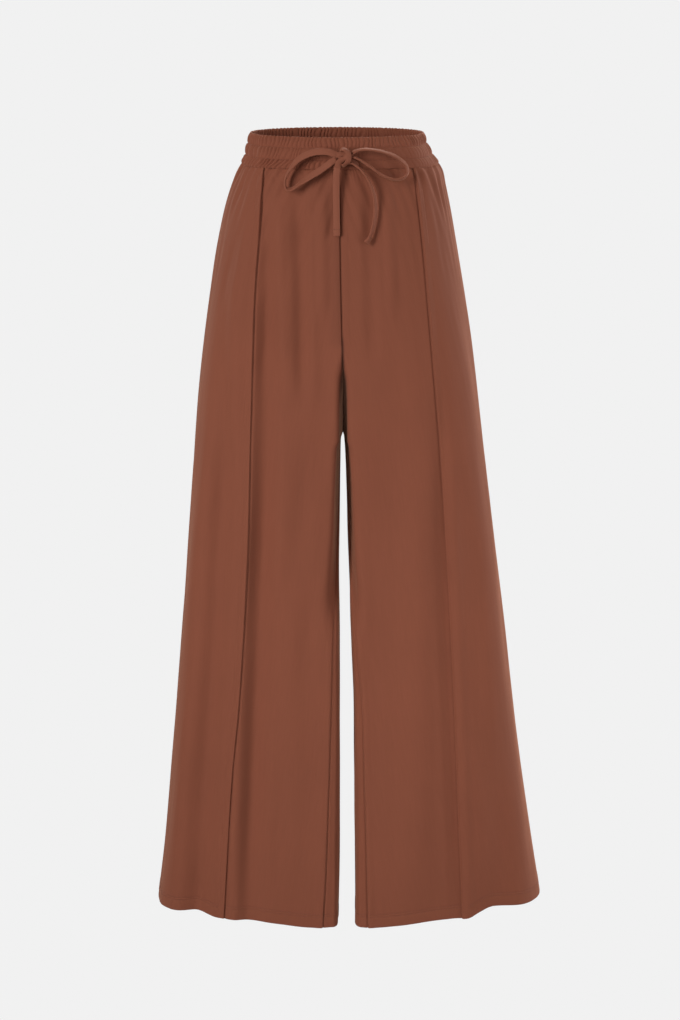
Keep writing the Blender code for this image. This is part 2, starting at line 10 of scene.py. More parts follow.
import bpy
import mathutils
import numpy as np
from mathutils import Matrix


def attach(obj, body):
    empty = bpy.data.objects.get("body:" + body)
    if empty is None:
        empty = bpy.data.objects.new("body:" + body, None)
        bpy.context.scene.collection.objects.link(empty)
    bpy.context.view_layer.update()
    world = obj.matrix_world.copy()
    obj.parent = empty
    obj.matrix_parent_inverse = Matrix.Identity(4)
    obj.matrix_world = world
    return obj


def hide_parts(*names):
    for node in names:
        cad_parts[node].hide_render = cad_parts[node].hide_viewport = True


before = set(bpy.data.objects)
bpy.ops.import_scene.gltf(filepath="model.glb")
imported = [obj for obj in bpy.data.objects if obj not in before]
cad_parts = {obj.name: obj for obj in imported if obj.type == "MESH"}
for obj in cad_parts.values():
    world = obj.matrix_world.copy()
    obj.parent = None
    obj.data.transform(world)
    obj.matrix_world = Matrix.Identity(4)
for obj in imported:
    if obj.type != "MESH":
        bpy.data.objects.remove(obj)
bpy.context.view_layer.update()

bl_info = {
    "name": "Palazzo Pants",
    "version": (1, 0, 0),
    "blender": (4, 5, 0),
    "location": "View3D > Sidebar > Pants",
    "description": "Builds worn-shape palazzo pants with a gathered waistband and a drawstring bow",
    "category": "Add Mesh",
}

MM = 0.001
BODY = "root"
SEED = 7
LEGS = ("right", "left")
FACES = ("front", "back")

# --- Heights and making-up sizes shared with the solids -------------------------------------
WAISTBAND = 42 * MM
WAIST_TILT = 0.053               # the waist is lower in front: rise for each metre backwards
TILT_ENDS = 200 * MM
FRONT_SEAM_ENDS = 288 * MM       # where the centre front seam turns under the body
BACK_SEAM_ENDS = 300 * MM
FORK = 411 * MM                  # where the four panels meet between the legs
FORK_Y = 5 * MM
SEAM_CURVE = 1.2                 # how squarely the crotch seam curves under the body
SLIT = 12 * MM                   # between the legs' front faces just above the fork
SLIT_OPENS = 24 * MM             # how far behind the front it has its whole width
BACK_SLIT_OPENS = 10 * MM
ROLL = 8 * MM                    # cut off the corner where a front turns to face the other leg
HEM_ROLL = 8 * MM                # more of it at the hem
BACK_ROLL = 26 * MM
LEG_FALL = 6 * MM                # a leg's back is flatter towards its inner edge
CROWN_FADES = 260 * MM           # drop over which the belly's crown fades down a leg
SQUARES_FROM = 60 * MM           # the sections grow flatter and squarer from here
SQUARES_BY = 560 * MM            # to here
HEM_SIDE = 1078 * MM
HEM_INNER = 1092 * MM
HEM_LIFT = {"right": 8 * MM, "left": 16 * MM}  # how much higher the hem hangs at the side
LIFT_FROM = 820 * MM
LIFT_WIDE = 45 * MM              # how far outside the pintuck the lift is whole
HEM_TURN = 20 * MM
NEEDLE_LINES = (15 * MM, 18.2 * MM)              # the hem's two sewn lines, above its edge
GROOVES = (0.0, 0.33, 0.72, 1.0)
SWELLS = (1.4 * MM, 2.0 * MM, 1.0 * MM)
BAND_WALL = 1.5 * MM
BAND_TOP = 2.6 * MM              # the rolled top edge begins this far down
WRAP_TURN = math.radians(50)
FULL_WRAP = 86 * MM
NOSE_ROLL = 8 * MM               # the corner of a back where it wraps onto the front of a leg
NOSE_BACK = 24 * MM              # and how far back that corner's curve reaches
PATH_STEPS = 200


class Table:
    """Rows of named columns in millimetres, read at any drop by a curve that never overshoots."""

    def __init__(self, columns, *rows):
        self.column = dict(zip(columns.split(), np.array(rows, dtype=float).T * MM))

    def at(self, name, drop):
        """A cubic between rows, whose slope at each row is the weighted harmonic mean."""
        x, y = self.column["drop"], self.column[name]
        step = np.diff(x)
        rise = np.diff(y) / step
        slope = np.concatenate([rise[:1], np.zeros(len(x) - 2), rise[-1:]])
        near, far = rise[:-1], rise[1:]
        same = near * far > 0
        spread = step[:-1] + step[1:]
        near_share = (spread + step[1:])[same] / near[same]
        far_share = (spread + step[:-1])[same] / far[same]
        slope[1:-1][same] = 3 * spread[same] / (near_share + far_share)
        drop = np.clip(drop, x[0], x[-1])
        i = np.clip(np.searchsorted(x, drop, side="right") - 1, 0, len(x) - 2)
        t = (drop - x[i]) / step[i]
        bend = step[i] * t * (1 - t) * (slope[i] * (1 - t) - slope[i + 1] * t)
        return y[i] + (y[i + 1] - y[i]) * smooth_step(t) + bend


# The outline at the side seams, by drop.
SIDE = Table("drop right left y",
             (0, -116, 113.8, 0),
             (14, -119.2, 117, 0),
             (28, -121.6, 124, 0),
             (36, -124.4, 129.5, 0),
             (42, -128.6, 135, 0),
             (54, -136, 142, 1),
             (70, -142.6, 145.6, 1),
             (110, -154.5, 153.7, 2),
             (170, -166.5, 164.5, 4),
             (260, -180, 179, 6),
             (345, -190, 190.5, 8),
             (450, -198.5, 203, 9),
             (600, -209.5, 222, 12),
             (800, -227, 246.5, 18),
             (1000, -245, 273.5, 24),
             (1078, -254.5, 286, 26))

# The front: the free edge of each pintuck, the depth there, and the centre front.
FRONT = Table("drop right left y centre centre_y",
              (0, -84, 88, -61, 2, -86),
              (42, -97, 100.5, -75, 2, -97),
              (110, -102.5, 109.5, -88, 3, -104),
              (230, -111, 121, -96, 5, -106),
              (330, -114.5, 130, -99, 7, -104),
              (430, -117.5, 138.5, -98, 7, -104),
              (545, -121, 146, -94, 7, -104),
              (760, -134, 158, -90, 7, -104),
              (880, -145.5, 163.5, -88, 7, -104),
              (1078, -158, 172.5, -87, 7, -104))

# The back: the fullest point of each half, and the centre back.
BACK = Table("drop y centre_y",
             (0, 73, 84),
             (42, 84, 92),
             (110, 103, 107),
             (200, 121, 118),
             (290, 120, 113),
             (345, 113, 108),
             (450, 100, 108),
             (600, 88, 108),
             (800, 79, 108),
             (1078, 75, 108))

# Below the fork: each leg's inner edge, and how far the inseam lies in front of it.
INNER = Table("drop right left y right_wrap left_wrap wrap_y",
              (411, 5.9, 7.9, 5, 0, 0, 0),
              (422, 3.9, 9.3, 4, 0.2, 0.2, 4),
              (450, 3.3, 10.9, 3, 1, 1, 12),
              (500, 2.7, 12.7, 2, 2, 2, 26),
              (600, 1.5, 15.8, 0, 4.5, 3.5, 60),
              (690, 2.2, 19.0, -2, 8.4, 5.7, 86),
              (790, 2.8, 22.2, -3, 11.4, 11, 84),
              (904, 2.4, 23.4, -5, 14.6, 13, 81),
              (1000, 2.0, 24.3, -7, 17.5, 15, 78),
              (1092, 0.2, 24.3, -10, 20.7, 17, 75))

# Folds of the cloth: leg, face, drop at the top and bottom, x at each, half
# width, and height (a trough is below 0).
FOLDS = (
    ("right", "front", 30, 210, -126, -141, 12, -2.4),
    ("right", "front", 40, 460, -130, -144, 16, 3.2),
    ("right", "front", 60, 700, -98, -128, 12, 2.8),
    ("right", "front", 50, 380, -51, -46, 17, -8.0),
    ("right", "front", 60, 330, -79, -76, 15, 4.0),
    ("right", "front", 60, 260, -22, -20, 13, 3.2),
    ("right", "front", 60, 400, -24, -20, 28, -4.5),
    ("right", "front", 60, 360, -97, -101, 12, -2.6),
    ("right", "front", 240, 1300, -103, -155, 19, 6.0),
    ("right", "front", 60, 1150, -86, -126, 28, -9.0),
    ("right", "front", 300, 960, -78, -56, 34, 3.4),
    ("right", "front", 240, 1300, -145, -212, 36, -15),
    ("left", "front", 50, 330, 40, 48, 15, -2.4),
    ("left", "front", 50, 260, 66, 72, 12, 2.2),
    ("left", "front", 300, 1150, 134, 170, 18, -5.4),
    ("left", "front", 300, 1300, 143, 192, 14, 4.8),
    ("left", "front", 380, 1150, 112, 106, 38, 6.0),
    ("left", "front", 470, 940, 176, 206, 20, -2.4),
    ("left", "front", 760, 1300, 222, 228, 34, -6),
    ("right", "back", 60, 420, -70, -60, 18, -2.6),
    ("right", "back", 330, 1300, -150, -196, 30, -6.0),
    ("right", "back", 380, 1300, -84, -104, 30, 3.4),
    ("right", "back", 420, 1300, -50, -68, 24, -5.0),
    ("left", "back", 60, 400, 62, 74, 18, -2.6),
    ("left", "back", 340, 1300, 158, 214, 30, -6.0),
    ("left", "back", 400, 1300, 96, 130, 30, 3.4),
    ("left", "back", 440, 1300, 60, 84, 24, -5.0),
)


# Small shapes of the sewn cloth.
GATHER_SPACING = 7.6 * MM        # between gathers at the waist seam
GATHER_HEIGHT = 1.25 * MM
GATHER_FADES = 17                # their length, in millimetres below the waist seam
DRAWN_HEIGHT = 1.5 * MM          # the longer folds that the gathers draw
DRAWN_FADES = 70 * MM
BROAD_HEIGHT = 0.55 * MM         # broad and fine unevenness of the hanging cloth
FINE_HEIGHT = 0.07 * MM
SEAM_DENT = 0.9 * MM
CENTRE_DENT = 1.5 * MM           # the centre seams sink further
TUCK_DENT = 1.1 * MM             # and the cloth beside a pintuck's fold
ALLOWANCE = 11 * MM              # width of the folded cloth behind a seam
ALLOWANCE_HEIGHT = 0.22 * MM
EASED = 15 * MM                  # over which a seam's dent begins and ends

# Painted shade: how much the cloth's colour is darkened where little light reaches, in a dent of this
# depth, at the foot of the front seam and in the slit, and the colour that the painted shade darkens
# towards.
DEEP_DENT = 3 * MM
DENT_SHADE = 0.4
SEAM_FOOT_SHADE = 0.7
PAINTED_SHADE_COLOUR = (0.34, 0.28, 0.26)
SLIT_REACH = 14 * MM             # either side of the middle

GRAIN = 1500                     # the crepe's pebbles in each metre
TAPE_STEP = 0.8                  # millimetres between a tape's sections
TIP_FOLD = 10.5 * MM             # a tail's folded end
TIP_SEWN = 8.9                   # millimetres from the end to its sewn line


def smooth_step(t):
    """0 to 1 with level ends: 3 t squared minus 2 t cubed."""
    t = np.clip(t, 0, 1)
    return t * t * (3 - 2 * t)


def bezier(*corners):
    """A cubic curve for each row from its four corners, each given as an (x, y) pair."""
    p0, p1, p2, p3 = (np.stack(np.broadcast_arrays(*corner), -1)[:, None] for corner in corners)
    t = np.linspace(0, 1, PATH_STEPS)[None, :, None]
    return p0 * (1 - t) ** 3 + 3 * p1 * t * (1 - t) ** 2 + 3 * p2 * t ** 2 * (1 - t) + p3 * t ** 3


def back_share(t):
    """How far back the crotch seam has curved at t of its drop: 0 to 1, steeper and steeper."""
    t = np.clip(t, 0, 1) ** SEAM_CURVE
    return 1 - (1 - t) ** (1 / SEAM_CURVE)


def inner_end(leg, drop, face):
    """The inner end of each row of a panel: its place, its drop, and its straight seam's y.

    Below the straight centre seam the end curves under the body to the fork, and from there
    goes down the inside of the leg.
    """
    table, ends = (FRONT, FRONT_SEAM_ENDS) if face == "front" else (BACK, BACK_SEAM_ENDS)
    on_leg = drop >= FORK
    leg_share = np.maximum(drop - FORK, 0) / (HEM_SIDE - FORK)
    end_drop = drop + (HEM_INNER - HEM_SIDE) * leg_share
    seam_y = table.at("centre_y", np.minimum(drop, ends))
    under = back_share((drop - ends) / (FORK - ends))
    x = np.where(on_leg, INNER.at(leg, end_drop), FRONT.at("centre", end_drop))
    y = np.where(on_leg, INNER.at("y", end_drop), seam_y + (FORK_Y - seam_y) * under)
    return x, y, end_drop, seam_y


def corner_path(start, slope, across, corner, end, roll, roll_back=None):
    """A section from start to end round a soft corner, and the corner's own point.

    A cubic leaves start at its slope and comes level to the corner; a second one turns the
    corner, cutting roll off before it and roll_back after it; the last runs straight to the end.
    """
    (start_x, start_y), (corner_x, corner_y), (end_x, end_y) = start, corner, end
    far = np.maximum(np.hypot(end_x - corner_x, end_y - corner_y), 1e-9)
    cut = np.minimum(roll, 0.9 * far)
    cut_back = cut if roll_back is None else np.minimum(roll_back, 0.9 * far)
    out_x, out_y = (end_x - corner_x) / far, (end_y - corner_y) / far
    before = corner_x - np.sign(across) * cut, corner_y + 0 * cut
    after = corner_x + out_x * cut_back, corner_y + out_y * cut_back
    third = (before[0] - start_x) / 3
    level = bezier((start_x, start_y), (start_x + third, start_y + third * slope),
                   (before[0] - third, corner_y), before)
    turn = bezier(before, (before[0] + 0.62 * (corner_x - before[0]), corner_y),
                  (after[0] - 0.62 * out_x * cut_back, after[1] - 0.62 * out_y * cut_back), after)
    step_x, step_y = (end_x - after[0]) / 3, (end_y - after[1]) / 3
    run = bezier(after, (after[0] + step_x, after[1] + step_y),
                 (end_x - step_x, end_y - step_y), (end_x, end_y))
    return np.concatenate([level, turn[:, 1:], run[:, 1:]], axis=1)


def front_path(leg, drop):
    """The front's section at each side drop: side seam to pintuck, then pintuck to inner end."""
    inward = 1 if leg == "right" else -1
    side_x, side_y = SIDE.at(leg, drop), SIDE.at("y", drop)
    tuck_x, tuck_y = FRONT.at(leg, drop), FRONT.at("y", drop)
    edge_x, edge_y, end_drop, seam_y = inner_end(leg, drop, "front")
    wrap = INNER.at("wrap_y", end_drop)
    end_x, end_y = edge_x - inward * INNER.at(leg + "_wrap", end_drop), edge_y - wrap
    lean = np.tan(WRAP_TURN * (wrap / FULL_WRAP) ** 6)
    crown = 1 - smooth_step((drop - FRONT_SEAM_ENDS) / CROWN_FADES)
    corner_y = tuck_y + (seam_y - tuck_y) * crown
    back = np.maximum(end_y - corner_y, 0)
    corner_x = end_x - inward * (lean * back + SLIT / 2 * smooth_step(back / SLIT_OPENS))
    slope = 2 * inward * (corner_y - tuck_y) / abs(corner_x - tuck_x)
    depth, width = side_y - tuck_y, abs(side_x - tuck_x)
    square = smooth_step((drop - SQUARES_FROM) / (SQUARES_BY - SQUARES_FROM))
    flat = (0.45 + 0.35 * square) * width
    outer = bezier((side_x, side_y), (side_x, side_y - (0.52 + 0.36 * square) * depth),
                   (tuck_x - inward * flat, tuck_y - flat * inward * slope), (tuck_x, tuck_y))
    roll = ROLL + HEM_ROLL * smooth_step((drop - FORK) / (HEM_SIDE - FORK))
    inner = corner_path((tuck_x, tuck_y), slope, corner_x - tuck_x, (corner_x, corner_y),
                        (end_x, np.maximum(end_y, corner_y)), roll)
    return outer, inner, end_drop


def back_path(leg, drop):
    """The back's section at each side drop: side seam to fullest point, then to the inner end."""
    inward = 1 if leg == "right" else -1
    side_x, side_y = SIDE.at(leg, drop), SIDE.at("y", drop)
    edge_x, edge_y, end_drop, seam_y = inner_end(leg, drop, "back")
    full_x, full_y = (side_x + edge_x) / 2, BACK.at("y", drop)
    wrap = INNER.at("wrap_y", end_drop)
    end_x, end_y = edge_x - inward * INNER.at(leg + "_wrap", end_drop), edge_y - wrap
    crown = 1 - smooth_step((drop - BACK_SEAM_ENDS) / CROWN_FADES)
    corner_y = full_y - LEG_FALL * (1 - crown) + (seam_y - full_y) * crown
    forward = np.maximum(corner_y - edge_y, 0)
    corner_x = edge_x - inward * SLIT / 2 * smooth_step(forward / BACK_SLIT_OPENS)
    slope = 2 * inward * (corner_y - full_y) / abs(corner_x - full_x)
    depth, width = full_y - side_y, abs(full_x - side_x)
    square = smooth_step((drop - SQUARES_FROM) / (SQUARES_BY - SQUARES_FROM))
    flat = (0.5 + 0.25 * square) * width
    outer = bezier((side_x, side_y), (side_x, side_y + (0.55 + 0.25 * square) * depth),
                   (full_x - inward * flat, full_y - flat * inward * slope), (full_x, full_y))
    inner = corner_path((full_x, full_y), slope, corner_x - full_x, (corner_x, corner_y),
                        (edge_x, np.minimum(edge_y, corner_y)), BACK_ROLL)
    width = np.maximum(abs(edge_x - end_x), 1e-6)
    nose = corner_path((end_x, end_y), 0, edge_x - end_x, (edge_x, end_y + np.minimum(2 * MM, wrap / 2)),
                       (edge_x, edge_y), np.minimum(NOSE_ROLL, 0.8 * width), NOSE_BACK)
    return outer, np.concatenate([inner, nose[:, -2::-1]], axis=1), end_drop


def reach(path):
    """Distance along each row's path to each of its points."""
    lengths = np.linalg.norm(np.diff(path, axis=1), axis=2)
    return np.concatenate([np.zeros((len(path), 1)), np.cumsum(lengths, axis=1)], axis=1)


def read_path(path, where):
    """Points of each row's path at distances from its start, a straight line between points.

    Each row's distances are moved 10 m on from the last row's, so one reading serves all rows.
    """
    row = 10.0 * np.arange(len(path))[:, None]
    known, wanted = (reach(path) + row).ravel(), (where + row).ravel()
    flat = path.reshape(-1, 2)
    return np.stack([np.interp(wanted, known, flat[:, k]) for k in (0, 1)], -1).reshape(*where.shape, 2)


def height(points, drop, end_drop, share, lift=0):
    """Adds z: each row runs from its side drop to its inner end's drop, and the waist tilts.

    lift is how much higher each point hangs at the hem; it fades away up the leg.
    """
    level = drop[:, None] + (end_drop - drop)[:, None] * smooth_step(share)
    level = level - lift * smooth_step((drop - LIFT_FROM) / (HEM_SIDE - LIFT_FROM))[:, None]
    fade = 1 - smooth_step(drop / TILT_ENDS)[:, None]
    return np.concatenate([points, (WAIST_TILT * fade * points[..., 1] - level)[..., None]], axis=2)


# --- The cloth's surface ---------------------------------------------------------------------

def whole_path(leg, face, drop):
    """Each row's section, side seam to inner end, and how far along its two marks lie.

    The marks are the pintuck or fullest point, and the middle of the corner.
    """
    outer, inner, end_drop = (front_path if face == "front" else back_path)(leg, drop)
    path = np.concatenate([outer, inner[:, 1:]], axis=1)
    reached = reach(path)
    return path, reached[:, PATH_STEPS - 1], reached[:, PATH_STEPS * 3 // 2 + PATH_STEPS - 2], end_drop


def spaced(length, marks, columns):
    """Distances across each row from 0 to its length, closer together near its marks.

    How close the columns stand is a level base plus a bell curve for each mark (its place, half
    width and strength), and they stand at equal steps of that curve's running total.
    """
    fine = np.linspace(0, 1, 900)[None] * length
    close = 1 + sum(s * np.exp(-((fine - at) / width) ** 2) for at, width, s in marks)
    total = np.concatenate([0 * length, np.cumsum((close[:, 1:] + close[:, :-1]) / 2
                                                  * np.diff(fine, axis=1), axis=1)], axis=1)
    row = 10.0 * np.arange(len(length))[:, None]
    wanted = np.linspace(0, 1, columns)[None] * total[:, -1:]
    found = np.interp((wanted + row).ravel(), (total + row).ravel(), fine.ravel())
    found = found.reshape(wanted.shape)
    found[:, 0], found[:, -1] = 0, length[:, 0]
    return found


def cloth_grid(leg, face, drop, place):
    """Smooth points of a panel: place(length, middle, corner) gives each row's distances."""
    path, middle, corner, end_drop = whole_path(leg, face, drop)
    length = reach(path)[:, -1]
    where = place(length[:, None], middle[:, None], corner[:, None])
    start = middle[:, None] if face == "front" else 0.35 * length[:, None]
    share = (where - start) / (length[:, None] - start)
    lift = HEM_LIFT[leg] * smooth_step((start - where) / LIFT_WIDE)
    return height(read_path(path, where), drop, end_drop, share, lift), where, length, middle


def waves(across, down, seed, size, stretch=5.0, count=14):
    """Gentle unevenness from -1 to 1: a sum of cosine waves running mostly across the cloth.

    size is the middle wavelength across; along the drop each wave is stretch times longer.
    """
    pick = np.random.default_rng(seed)
    wide = size * 2 ** pick.uniform(-0.7, 0.7, count)
    tall = stretch * size * 2 ** pick.uniform(-0.7, 0.7, count) * pick.choice((-1, 1), count)
    phase = pick.uniform(0, 1, count)
    total = np.zeros(np.broadcast(across, down).shape)
    for w, t, p in zip(wide, tall, phase):
        total += np.cos(2 * np.pi * (across / w + down / t + p))
    return total / math.sqrt(count)


def fold_heights(leg, face, drop, x):
    """How far the folds move the cloth out (above 0) or in: a squared cosine across each fold.

    Each fold runs straight from its x at the top to its x at the bottom, and fades in and out
    over a quarter of its length.
    """
    total = np.zeros(x.shape)
    for owner, side, top, bottom, x_top, x_bottom, half_width, rise in FOLDS:
        if (owner, side) == (leg, face):
            t = ((drop - top * MM) / ((bottom - top) * MM))[:, None]
            across = (x - (x_top + (x_bottom - x_top) * t) * MM) / (half_width * MM)
            fade = smooth_step(t / 0.25) * smooth_step((1 - t) / 0.25)
            total += rise * MM * fade * np.cos(np.clip(across, -1, 1) * np.pi / 2) ** 2
    return total


def groove(distance, width, depth):
    """A sewn line's dent: depth times a bell curve of the distance from the line."""
    return -depth * np.exp(-(distance / width) ** 2)


def gather_strength(leg, face, across):
    """Share of the full gathering at a share of the way from the side seam to the centre."""
    if face == "back":
        return 0.75 + 0.25 * np.cos(6 * across)
    return 1.25 - 0.5 * across if leg == "right" else 0.55 + 0.35 * (1 - across) ** 2


def relief(leg, face, drop, where, length, tuck):
    """Small shapes on a panel's outside: gathers, unevenness, and dents along its seams.

    The gathers are ridges with narrow creases, |cos| of the distance over their spacing, and
    fade within a few centimetres of the waist seam.
    """
    seed = SEED + 10 * LEGS.index(leg) + FACES.index(face)
    down = drop[:, None] + 0 * where
    below = down - WAISTBAND
    across = where / length
    spacing = GATHER_SPACING * (1 + 0.1 * waves(across * 0.15, 0, seed, 0.03))
    crease = 0.5 * waves(where, down, seed + 1, 40 * MM, 3) + where / spacing
    long = (GATHER_FADES + 6 * waves(where, 0 * down, seed + 2, 30 * MM)) * MM
    fade = np.exp(-(below / long) ** 2)
    strength = gather_strength(leg, face, across)
    gathers = GATHER_HEIGHT * strength * fade * (np.abs(np.cos(np.pi * crease)) ** 0.8 - 0.7)
    drawn = strength * np.exp(-below / DRAWN_FADES) * waves(where, down, seed + 3, 20 * MM, 9)
    broad = waves(where, down, seed + 4, 62 * MM, 6) * smooth_step(below / (120 * MM))
    fine = waves(where, down, seed + 5, 15 * MM, 12)
    soft = gathers + DRAWN_HEIGHT * drawn + BROAD_HEIGHT * broad + FINE_HEIGHT * fine
    ends = FRONT_SEAM_ENDS if face == "front" else BACK_SEAM_ENDS
    on_body = smooth_step((ends - down) / EASED)
    faces_out = on_body + smooth_step((down - FORK) / EASED)
    short = length - where
    seams = groove(where, 1.3 * MM, SEAM_DENT) + groove(below, 1.2 * MM, SEAM_DENT)
    seams = seams + faces_out * groove(short, 1.3 * MM, SEAM_DENT)
    middle = on_body * smooth_step(below / (40 * MM))
    seams = seams + middle * groove(short, (14 if leg == "right" else 1.2) * MM, CENTRE_DENT)
    if face == "front":
        seams = seams + on_body * groove(short, 0.8 * MM, SEAM_DENT)
        seams = seams + groove(where - tuck - 1.3 * MM, 1.1 * MM, TUCK_DENT)
    behind = smooth_step((ALLOWANCE - where) / (3 * MM))
    behind = behind + faces_out * smooth_step((ALLOWANCE - short) / (3 * MM))
    return soft, seams + ALLOWANCE_HEIGHT * behind


def painted_shade_share(face, drop, grid, sewn):
    """0 to 1: painted shade, how much a point's colour is darkened in a sewn line's dent or in the slit.

    The slit counts in full from 18 mm behind the front, and from the foot of the front seam
    down to just below the fork.
    """
    # painted shade in the dents, at the foot of the front seam and in the slit
    dents = DENT_SHADE * np.clip(-sewn / DEEP_DENT, 0, 1)
    if face == "back":
        return dents
    past = drop - FRONT_SEAM_ENDS
    rows = smooth_step((past + 4 * MM) / (10 * MM))
    rows = rows * smooth_step((FORK + 25 * MM - drop) / (20 * MM))
    behind = grid[..., 1] - FRONT.at("centre_y", drop)[:, None]
    aside = np.abs(grid[..., 0] - FRONT.at("centre", drop)[:, None])
    slit = rows[:, None] * (aside < SLIT_REACH) * smooth_step((behind - 2 * MM) / (16 * MM))
    foot = smooth_step((past + 30 * MM) / (20 * MM)) * smooth_step((60 * MM - past) / (30 * MM))
    line = SEAM_FOOT_SHADE * foot[:, None] * np.clip(1.4 - aside / (2 * MM), 0, 1)
    return np.maximum(np.maximum(dents, line), slit)


def hem_relief(down):
    """The hem's outside, by drop: two needle lines pull in, and the turn-up swells a little."""
    above = HEM_SIDE - down
    lines = sum(groove(above - line, 0.9 * MM, 0.35 * MM) for line in NEEDLE_LINES)
    return lines + 0.3 * MM * smooth_step((19.5 * MM - above) / (3 * MM))


def surface(leg, face, drop, place):
    """A panel's points, outward normals, soft and sewn relief, and distances across."""
    grid, where, length, tuck = cloth_grid(leg, face, drop, place)
    other_leg = "left" if leg == "right" else "right"
    other_face = "back" if face == "front" else "front"
    step = 1.5 * MM
    side = 1 if (leg == "right") == (face == "front") else -1

    def beside(which_leg, which_face, at_end):
        """Points of another panel a step from its side seam or from its inner end."""
        return cloth_grid(which_leg, which_face, drop,
                          lambda long, *_: long - step if at_end else 0 * long + step)[0][:, 0]

    def own(at_end):
        """The panel's own points a step from its side seam or from its inner end."""
        return beside(leg, face, at_end)

    ends = FRONT_SEAM_ENDS if face == "front" else BACK_SEAM_ENDS
    on_leg, on_body = (drop > FORK)[:, None], (drop <= ends)[:, None]
    over_start = grid[:, 0] if where[0, 0] > 0 else beside(leg, other_face, False)
    if where[0, -1] < length[0] - 1e-6:
        over_end = grid[:, -1]
    else:
        over_end = np.where(on_leg, beside(leg, other_face, True), 2 * grid[:, -1] - own(True))
        over_end = np.where(on_body, beside(other_leg, face, True), over_end)
    wide = np.concatenate([over_start[:, None], grid, over_end[:, None]], axis=1)
    across = wide[:, 2:] - wide[:, :-2]
    if where[0, 0] <= 0:
        across[:, 0] = own(False) - over_start
    if where[0, -1] >= length[0] - 1e-6:
        across[:, -1] = over_end - own(True)
    down = np.gradient(grid, axis=0) / np.gradient(drop)[:, None, None]
    normal = side * np.cross(down, across)
    normal /= np.linalg.norm(normal, axis=2, keepdims=True)
    soft, sewn = relief(leg, face, drop, where, length[:, None], tuck[:, None])
    soft = soft + fold_heights(leg, face, drop, grid[..., 0])
    held = smooth_step(np.minimum(where, length[:, None] - where) / (14 * MM))
    return grid, normal, soft * held, sewn, where


# --- Meshes ----------------------------------------------------------------------------------

def grid_faces(rows, columns, around=False, closed=False):
    """Quads of a grid numbered row by row.

    around joins the last row to the first, and closed joins the last column to the first.
    """
    r = np.arange(rows if around else rows - 1)[:, None]
    c = np.arange(columns if closed else columns - 1)[None, :]
    below, beside = (r + 1) % rows, (c + 1) % columns
    corners = (r * columns + c, below * columns + c, below * columns + beside, r * columns + beside)
    return np.stack(np.broadcast_arrays(*corners), -1).reshape(-1, 4)


def strip_faces(rows, columns):
    """Quads of a tube whose rings are folded flat: its sides, and both its ends."""
    faces = [grid_faces(rows, columns, closed=True)]
    for row in (0, rows - 1):
        a = row * columns + np.arange(columns // 2)
        b = row * columns + columns - 1 - np.arange(columns // 2)
        faces.append(np.stack([a[:-1], a[1:], b[1:], b[:-1]], -1))
    return np.concatenate(faces)


def turned_out(points, faces):
    """The faces, reversed if the volume they enclose comes out below zero."""
    a, b, c, d = (points[faces[:, k]] for k in range(4))
    volume = np.sum(a * (np.cross(b, c) + np.cross(c, d)))
    return faces if volume > 0 else faces[:, ::-1]


def make_piece(name, points, faces, material, uv=None, sharp=None, crease=None):
    """A shown object at the origin from points and quads, riding on the garment."""
    points = np.asarray(points, dtype=float).reshape(-1, 3)
    faces = turned_out(points, faces)
    mesh = bpy.data.meshes.new(name)
    mesh.vertices.add(len(points))
    mesh.vertices.foreach_set("co", points.astype(np.float32).ravel())
    mesh.loops.add(faces.size)
    mesh.loops.foreach_set("vertex_index", faces.astype(np.int32).ravel())
    mesh.polygons.add(len(faces))
    mesh.polygons.foreach_set("loop_start", np.arange(0, faces.size, 4, dtype=np.int32))
    mesh.update(calc_edges=True)
    mesh.validate()
    mesh.shade_smooth()
    if uv is not None:
        corners = np.empty(len(mesh.loops), dtype=np.int32)
        mesh.loops.foreach_get("vertex_index", corners)
        layer = mesh.uv_layers.new(name="cloth")
        layer.data.foreach_set("uv", np.asarray(uv, dtype=np.float32).reshape(-1, 2)[corners].ravel())
    # the crease attribute carries painted shade, by which the cloth material darkens its colour
    if crease is not None:
        depth = mesh.attributes.new("crease", "FLOAT", "POINT")
        depth.data.foreach_set("value", np.asarray(crease, dtype=np.float32).ravel())
    if sharp is not None:
        mesh.set_sharp_from_angle(angle=sharp)
    mesh.materials.append(material)
    piece = bpy.data.objects.new(name, mesh)
    bpy.context.scene.collection.objects.link(piece)
    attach(piece, BODY)
    return piece


def unit(vectors):
    """The vectors at length 1."""
    return vectors / np.linalg.norm(vectors, axis=-1, keepdims=True)


def smooth_route(points, per_step):
    """A curve through given points (Catmull-Rom), with per_step points for each of them."""
    points = np.array(points, dtype=float)
    ends = np.concatenate([2 * points[:1] - points[1:2], points, 2 * points[-1:] - points[-2:-1]])
    p0, p1, p2, p3 = (ends[k:len(ends) - 3 + k, None] for k in range(4))
    t = np.linspace(0, 1, per_step, endpoint=False)[None, :, None]
    curve = 0.5 * (2 * p1 + (p2 - p0) * t + (2 * p0 - 5 * p1 + 4 * p2 - p3) * t ** 2
                   + (3 * p1 - p0 - 3 * p2 + p3) * t ** 3)
    return np.concatenate([curve.reshape(-1, points.shape[1]), points[-1:]])


def evenly(line, spacing):
    """Places along a line at an even spacing, by the distance reached."""
    reached = np.concatenate([[0], np.cumsum(np.linalg.norm(np.diff(line[:, :3], axis=0), axis=1))])
    where = np.linspace(0, reached[-1], max(int(round(reached[-1] / spacing)), 2))
    return np.stack([np.interp(where, reached, line[:, k]) for k in range(line.shape[1])], -1)


